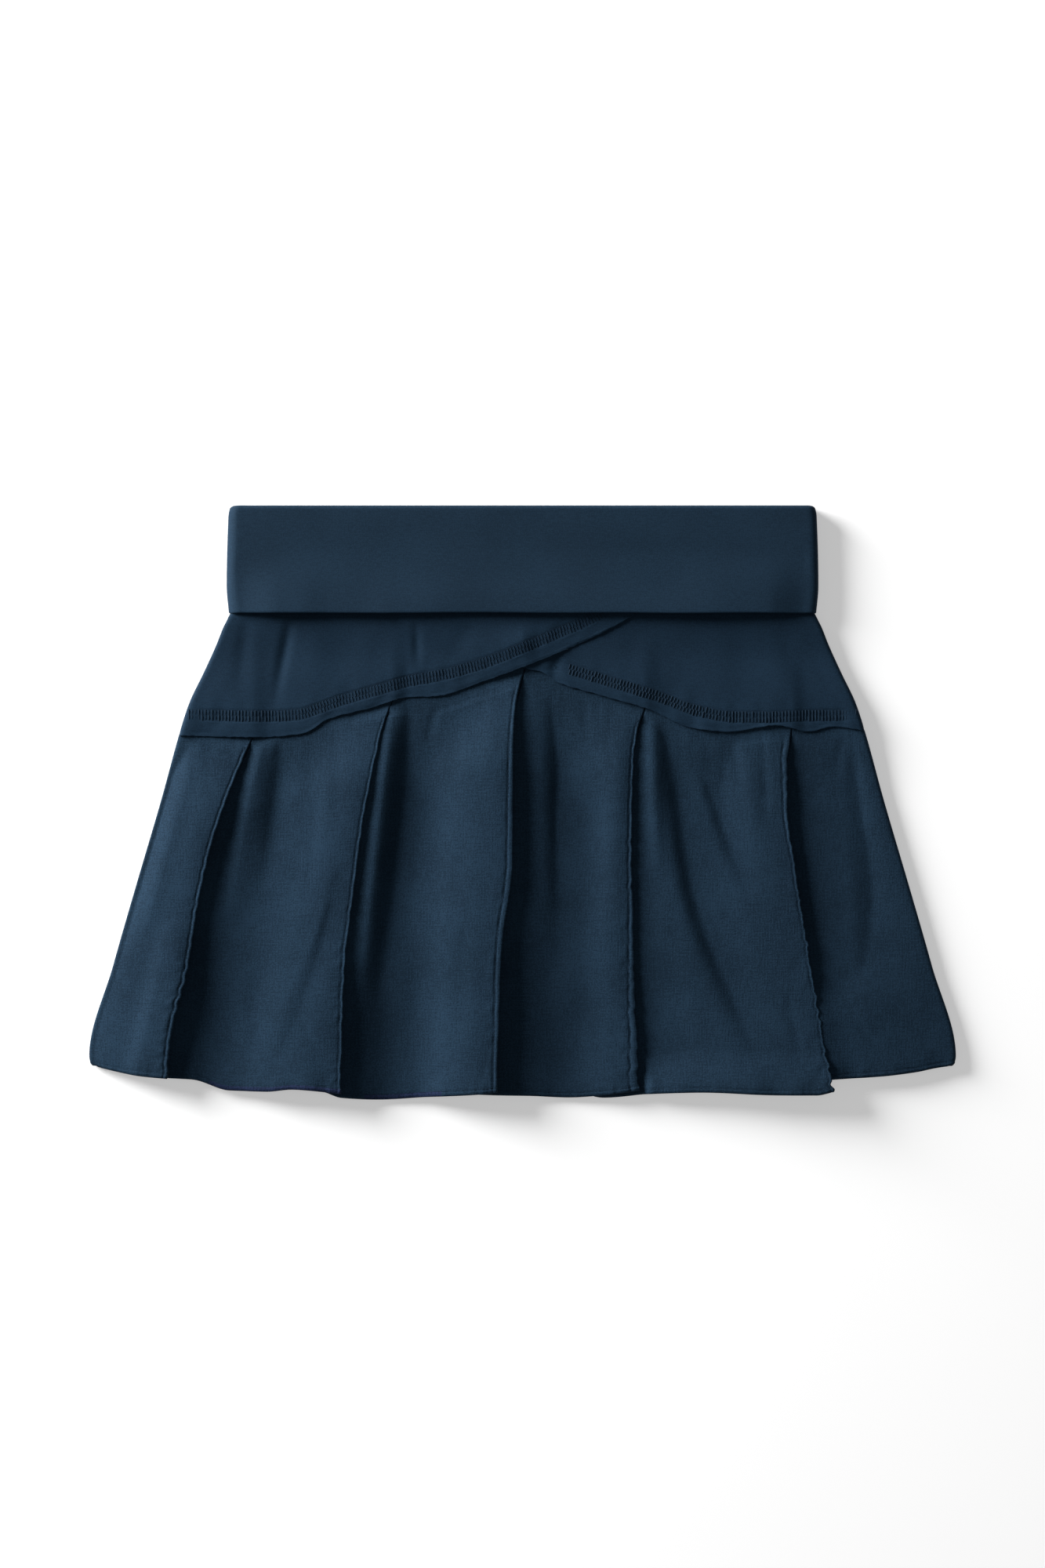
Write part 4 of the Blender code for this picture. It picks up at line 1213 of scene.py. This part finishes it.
def make_shorts_panel(name, sign, z, faces_up):
    drop = graded((WAIST_SEAM + 0.3, 96, 12), (96, SHORTS_HEM, 28))[:, None]
    u = np.linspace(0, 1, 30)[None, :]
    across = sign * mix(shorts_inseam(drop), shorts_side(drop), u)
    height = z + WAIST_LIFT * at_waist(drop) + across * 0
    drop = drop + across * 0
    if (sign > 0) != faces_up:
        across, drop, height = across[:, ::-1], drop[:, ::-1], height[:, ::-1]
    return lay_cloth(name + "_cloth", across, drop, height, SHORTS_WALL, shorts_jersey)


back_yoke_cloth = make_back_yoke()
back_gore_cloths = [make_back_gore(number) for number in range(len(SWELLS))]
shorts_cloths = {}
for side_name, sign in (("left", -1), ("right", 1)):
    for layer, z, faces_up in (("front", SHORTS_FRONT_Z, True), ("back", SHORTS_BACK_Z, False)):
        node = f"shorts_{layer}_{side_name}"
        shorts_cloths[node] = make_shorts_panel(node, sign, z, faces_up)
print("back and shorts:", 1 + len(back_gore_cloths) + len(shorts_cloths), "pieces")

# %% [markdown]
# ## Stitches
#
# Sewing is one small shape repeated along a path, which is what Geometry Nodes are for. The
# tree takes a path drawn on the cloth, with the way up at each of its points, sets a short
# arched thread on it at every pitch, and realizes them into a plain mesh. The same tree makes
# the needle lines, the rungs of the cover stitch, the edge stitching and the hems.

# %% The stitch tree
STITCH_INPUTS = {"Pitch": 0.0025, "Length": 0.002, "Thread": 0.0002, "Arch": 0.0002}
STITCH_INPUTS.update({"Turn": 0.0, "Uneven": 0.1})
STITCH_SEED = 7
ARCH_STEPS, THREAD_SIDES = 4, 5


def declare_sockets(face):
    face.new_socket(name="Path", in_out="INPUT", socket_type="NodeSocketGeometry")
    for label, default in STITCH_INPUTS.items():
        socket = face.new_socket(name=label, in_out="INPUT", socket_type=FLOAT)
        socket.default_value = default
    face.new_socket(name="Finish", in_out="INPUT", socket_type="NodeSocketMaterial")
    face.new_socket(name="Stitches", in_out="OUTPUT", socket_type="NodeSocketGeometry")


def turned_along(tree, tangent, given):
    """A rotation along the path and upright on the cloth, then turned by Turn."""
    normal = wire(tree, "GeometryNodeInputNamedAttribute", ["cloth_normal"], data_type="FLOAT_VECTOR")
    ahead = wire(tree, "FunctionNodeAlignRotationToVector", {"Vector": tangent}, axis="X")
    sources = {"Rotation": ahead.outputs[0], "Vector": normal.outputs[0]}
    upright = wire(tree, "FunctionNodeAlignRotationToVector", sources, axis="Z", pivot_axis="X")
    twist = wire(tree, "FunctionNodeAxisAngleToRotation", {"Axis": (0, 0, 1), "Angle": given["Turn"]})
    sources = {"Rotation": upright.outputs[0], "Rotate By": twist.outputs[0]}
    return wire(tree, "FunctionNodeRotateRotation", sources, rotation_space="LOCAL").outputs[0]


def arched_thread(tree, given):
    """One stitch: a short round thread that arches from its start to its end."""
    half = maths(tree, "MULTIPLY", given["Length"], 0.5)
    back = maths(tree, "MULTIPLY", given["Length"], -0.5)
    sources = {
        "Resolution": ARCH_STEPS,
        "Start": wire(tree, "ShaderNodeCombineXYZ", [back]).outputs[0],
        "Middle": wire(tree, "ShaderNodeCombineXYZ", [None, None, given["Arch"]]).outputs[0],
        "End": wire(tree, "ShaderNodeCombineXYZ", [half]).outputs[0],
    }
    arc = wire(tree, "GeometryNodeCurveQuadraticBezier", sources)
    sources = {"Resolution": THREAD_SIDES, "Radius": given["Thread"]}
    circle = wire(tree, "GeometryNodeCurvePrimitiveCircle", sources)
    sources = {"Curve": arc.outputs[0], "Profile Curve": circle.outputs[0], "Fill Caps": True}
    return wire(tree, "GeometryNodeCurveToMesh", sources).outputs[0]


def uneven_size(tree, given):
    """A size for each stitch, a little above or below 1."""
    least = maths(tree, "SUBTRACT", 1.0, given["Uneven"])
    most = maths(tree, "ADD", 1.0, given["Uneven"])
    size = wire(tree, "FunctionNodeRandomValue", {"Seed": STITCH_SEED}, data_type="FLOAT")
    limits = [socket for socket in size.inputs if socket.type == "VALUE"]
    tree.links.new(least, limits[0])
    tree.links.new(most, limits[1])
    return next(socket for socket in size.outputs if socket.type == "VALUE")


def stitch_tree():
    """A tree that sets an arched stitch on a path at every pitch."""
    tree = bpy.data.node_groups.new("stitches along a path", "GeometryNodeTree")
    declare_sockets(tree.interface)
    given = tree.nodes.new("NodeGroupInput").outputs
    made = tree.nodes.new("NodeGroupOutput")
    path = wire(tree, "GeometryNodeMeshToCurve", [given["Path"]])
    sources = {"Curve": path.outputs[0], "Length": given["Pitch"]}
    points = wire(tree, "GeometryNodeCurveToPoints", sources, mode="LENGTH")
    spots = wire(tree, "GeometryNodeInstanceOnPoints", {
        "Points": points.outputs["Points"],
        "Instance": arched_thread(tree, given),
        "Rotation": turned_along(tree, points.outputs["Tangent"], given),
        "Scale": uneven_size(tree, given),
    })
    real = wire(tree, "GeometryNodeRealizeInstances", [spots.outputs[0]])
    smooth = wire(tree, "GeometryNodeSetShadeSmooth", {"Geometry": real.outputs[0]})
    sources = {"Geometry": smooth.outputs[0], "Material": given["Finish"]}
    finish = wire(tree, "GeometryNodeSetMaterial", sources)
    tree.links.new(finish.outputs[0], made.inputs[0])
    return tree


stitches = stitch_tree()
print("stitch tree inputs:", [item.name for item in stitches.interface.items_tree if item.in_out == "INPUT"])

# %% Sewing with the tree


def sew(name, paths, pitch, length, size, arch, turn=0.0, uneven=0.12):
    """Stitches along paths, each an array of (across, drop, z) in millimetres with normals."""
    points, edges, normals = [], [], []
    for path, normal in paths:
        start = len(points)
        points += [(x * MM, (LENGTH / 2 - d) * MM, z * MM) for x, d, z in path]
        edges += [(start + i, start + i + 1) for i in range(len(path) - 1)]
        normals += list(normal)
    mesh = bpy.data.meshes.new(name + "_path")
    mesh.from_pydata(points, edges, [])
    layer = mesh.attributes.new("cloth_normal", "FLOAT_VECTOR", "POINT")
    layer.data.foreach_set("vector", np.array(normals, float).reshape(-1))
    guide = bpy.data.objects.new(name, mesh)
    bpy.context.scene.collection.objects.link(guide)
    sewing = guide.modifiers.new("stitches", "NODES")
    sewing.node_group = stitches
    values = {"Pitch": pitch * MM, "Length": length * MM, "Thread": size * MM, "Arch": arch * MM}
    values.update({"Turn": turn, "Uneven": uneven, "Finish": sewing_thread})
    for item in stitches.interface.items_tree:
        if item.in_out == "INPUT" and item.name in values:
            sewing[item.identifier] = values[item.name]
    made = guide.evaluated_get(bpy.context.evaluated_depsgraph_get())
    plain = bpy.data.meshes.new_from_object(made)
    guide.modifiers.clear()
    guide.data = plain
    print(name, "has", len(plain.polygons), "faces")
    return guide


def path_on(height_at, across, drop, raise_by):
    """A path on a cloth whose height is height_at(across, drop), with its normals."""
    z = height_at(across, drop)
    reach = 0.6
    slope_x = (height_at(across + reach, drop) - height_at(across - reach, drop)) / (2 * reach)
    slope_y = (height_at(across, drop - reach) - height_at(across, drop + reach)) / (2 * reach)
    normals = np.stack([-slope_x, -slope_y, np.ones_like(z)], -1)
    normals /= np.linalg.norm(normals, axis=1)[:, None]
    return np.stack([across, drop, z + raise_by], -1), normals


# %% [markdown]
# ## The cover stitch on the yokes
#
# A three-needle cover stitch leaves three parallel lines with thread crossing between them,
# which reads as a small ladder. It follows its own smooth line above each raw edge and runs up
# under the band on the left. On the right it comes out from under the left yoke. The rungs are
# the same stitch as the needle lines, only turned across the path and made of thicker thread.

# %% Sew the yokes
STITCH_SINK = 0.08
RUNG_PITCH = 1.9
reach_to_side = side(STITCH_AT_SIDE) - 4.0
left_reach = np.linspace(-reach_to_side, 50.0, 420)
right_reach = np.linspace(27.0, reach_to_side, 300)


def needle_paths(offset):
    """A path on each yoke, at a distance above the stitch line's foot."""
    paths = []
    sides = (left_reach, left_stitch_line, left_yoke_z), (right_reach, right_stitch_line, right_yoke_z)
    for reach, line, height_at in sides:
        drop = line(reach) - offset
        shown = drop > BAND_DROP + 0.5
        paths.append(path_on(height_at, reach[shown], drop[shown], YOKE_WALL / 2 - STITCH_SINK))
    return paths


lines = needle_paths(0.1) + needle_paths(STITCH_BAND / 2) + needle_paths(STITCH_BAND - 0.1)
needle_lines = sew("yoke_needle_lines", lines, RUNG_PITCH, 1.5, 0.15, 0.1)
loops = needle_paths(STITCH_BAND * 0.26) + needle_paths(STITCH_BAND * 0.74)
rungs = sew("yoke_rungs", loops, RUNG_PITCH, 2.9, 0.36, 0.24, math.pi / 2, 0.2)

# %% [markdown]
# ## Edge stitching and hems
#
# The pleats' folds are stitched through, and the hem is turned once and stitched. Both are
# plain lockstitch, so a simple row of short stitches does.

# %% Sew the pleats and the hem
LOCKSTITCH = {"pitch": 2.4, "length": 1.9, "size": 0.13, "arch": 0.12}
SEAM_TO_HEM = 222.0
HEM_SHARE = 1 - HEM_TURN / SEAM_TO_HEM


def gore_path(gore, across, v):
    """A path on a gore's upper ply; its stitches stand straight up."""
    drop = gore.drop_at(across, v)
    z = gore.height(across, drop, v) + VOILE_WALL / 2
    return np.stack([across, drop, z], -1), np.tile((0, 0, 1.0), (len(v), 1))


def pleat_path(gore):
    v = np.linspace(0.075, 0.992, 420)
    return gore_path(gore, gore.span(v)[1] - stitch_offset(gore.number, v), v)


def hem_path(gore):
    v = np.full(260, HEM_SHARE)
    _, right, edge = gore.span(v)
    return gore_path(gore, np.linspace(edge[0] - 2.0, right[0] - 1.0, len(v)), v)


pleat_stitches = sew("pleat_edge_stitches", [pleat_path(gore) for gore in gores[:-1]], **LOCKSTITCH)
hem_stitches = sew("hem_stitches", [hem_path(gore) for gore in gores], **LOCKSTITCH)

# %% [markdown]
# ## Ride, replace and print the cuts
#
# Every cloth stands for its panel in the frame, which stays in the motion model but is hidden.
# The garment is one body, so all pieces ride on it. The printed sheet sizes are the cut pieces
# before they were folded and sewn, in metres, and the areas are those of their real outlines.

# %% Ride, replace and print the cuts
BAND_CUT = (0.68, 0.12)
LEFT_YOKE_CUT, RIGHT_YOKE_CUT, BACK_YOKE_CUT = (0.272, 0.076), (0.271, 0.073), (0.386, 0.073)
SHORTS_CUT = (0.188, 0.206)
FRONT_GORE_CUTS = [
    (0.107, 0.206), (0.16, 0.234), (0.148, 0.258), (0.136, 0.256), (0.167, 0.233), (0.112, 0.214),
]
BACK_GORE_CUTS = [
    (0.09, 0.207), (0.141, 0.222), (0.114, 0.226), (0.097, 0.226), (0.125, 0.223), (0.096, 0.212),
]


def cut_area(piece):
    """The area of a cloth's middle surface, in square metres."""
    return sum(face.area for face in piece.data.polygons)


def declare(piece, node, cut):
    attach(piece, "root")
    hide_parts(node)
    print(f"{piece.name}: cut {cut[0]:.3f} by {cut[1]:.3f} m, {cut_area(piece):.4f} m2")


def declare_laid(piece, node, cut):
    declare(piece, node, cut)


declare(band_cloth, "waistband", BAND_CUT)
declare_laid(left_yoke_cloth, "front_yoke_left", LEFT_YOKE_CUT)
declare_laid(right_yoke_cloth, "front_yoke_right", RIGHT_YOKE_CUT)
declare_laid(back_yoke_cloth, "back_yoke", BACK_YOKE_CUT)
for number, (cloth, cut) in enumerate(zip(gore_cloths, FRONT_GORE_CUTS)):
    declare_laid(cloth, f"front_gore_{number + 1}", cut)
for number, (cloth, cut) in enumerate(zip(back_gore_cloths, BACK_GORE_CUTS)):
    declare_laid(cloth, f"back_gore_{number + 1}", cut)
for node, cloth in shorts_cloths.items():
    declare_laid(cloth, node, SHORTS_CUT)
sewn = {"jersey": (needle_lines, rungs), "voile": (pleat_stitches, hem_stitches)}
for slot, pieces in sewn.items():
    for piece in pieces:
        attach(piece, "root")

# %% [markdown]
# ## Floor, light and camera
#
# The photo is a flat lay on white: a broad soft light from the left and slightly above, which
# leaves a soft shadow to the right of and below the garment. The camera looks straight down
# through a long lens.

# %% Floor, light and camera
FLOOR_HALF, FLOOR_Z = 3, -0.0002
KEY_LIGHT = {"place": (-2.26, 1.34, 0.83), "size": 1.5, "power": 262}
TOP_LIGHT = {"place": (0.3, -0.3, 2.6), "size": 1.6, "power": 7}

corners = [(x * FLOOR_HALF, y * FLOOR_HALF, FLOOR_Z) for x, y in ((-1, -1), (1, -1), (1, 1), (-1, 1))]
floor_mesh = bpy.data.meshes.new("floor")
floor_mesh.from_pydata(corners, [], [(0, 1, 2, 3)])
floor = bpy.data.objects.new("floor", floor_mesh)
bpy.context.scene.collection.objects.link(floor)
pale, _, shader = new_finish("pale floor")
set_inputs(shader, {"Base Color": (0.64, 0.64, 0.64, 1), "Roughness": 0.9})
set_inputs(shader, {"Emission Color": (1, 1, 1, 1), "Emission Strength": 0.38})
floor_mesh.materials.append(pale)


def softbox(name, place, size, power):
    """A round area light that points at the garment's middle."""
    lamp = bpy.data.lights.new(name, "AREA")
    lamp.shape, lamp.size, lamp.energy = "DISK", size, power
    light = bpy.data.objects.new(name, lamp)
    bpy.context.scene.collection.objects.link(light)
    light.location = place
    direction = [-value for value in place]
    turn = math.atan2(direction[1], direction[0])
    tilt = math.atan2(math.hypot(direction[0], direction[1]), -direction[2])
    light.rotation_euler = (tilt, 0, turn - math.pi / 2)


softbox("key", **KEY_LIGHT)
softbox("top", **TOP_LIGHT)
sky = bpy.data.worlds.new("studio")
sky.use_nodes = True
set_inputs(sky.node_tree.nodes["Background"], {"Color": (1, 1, 1, 1), "Strength": 0.13})
bpy.context.scene.world = sky
bpy.context.scene.view_settings.view_transform = "Standard"

PHOTO_HEIGHT = 0.9
LENS, SENSOR = 100.0, 36.0
GARMENT_MIDDLE, CLOTH_TOP = 0.01075, 0.006
camera_data = bpy.data.cameras.new("camera")
camera_data.lens, camera_data.sensor_width = LENS, SENSOR
camera = bpy.data.objects.new("camera", camera_data)
bpy.context.scene.collection.objects.link(camera)
camera.location = (0.0, GARMENT_MIDDLE, PHOTO_HEIGHT * LENS / SENSOR + CLOTH_TOP)
bpy.context.scene.camera = camera
print("camera height:", round(camera.location.z, 3), "m")
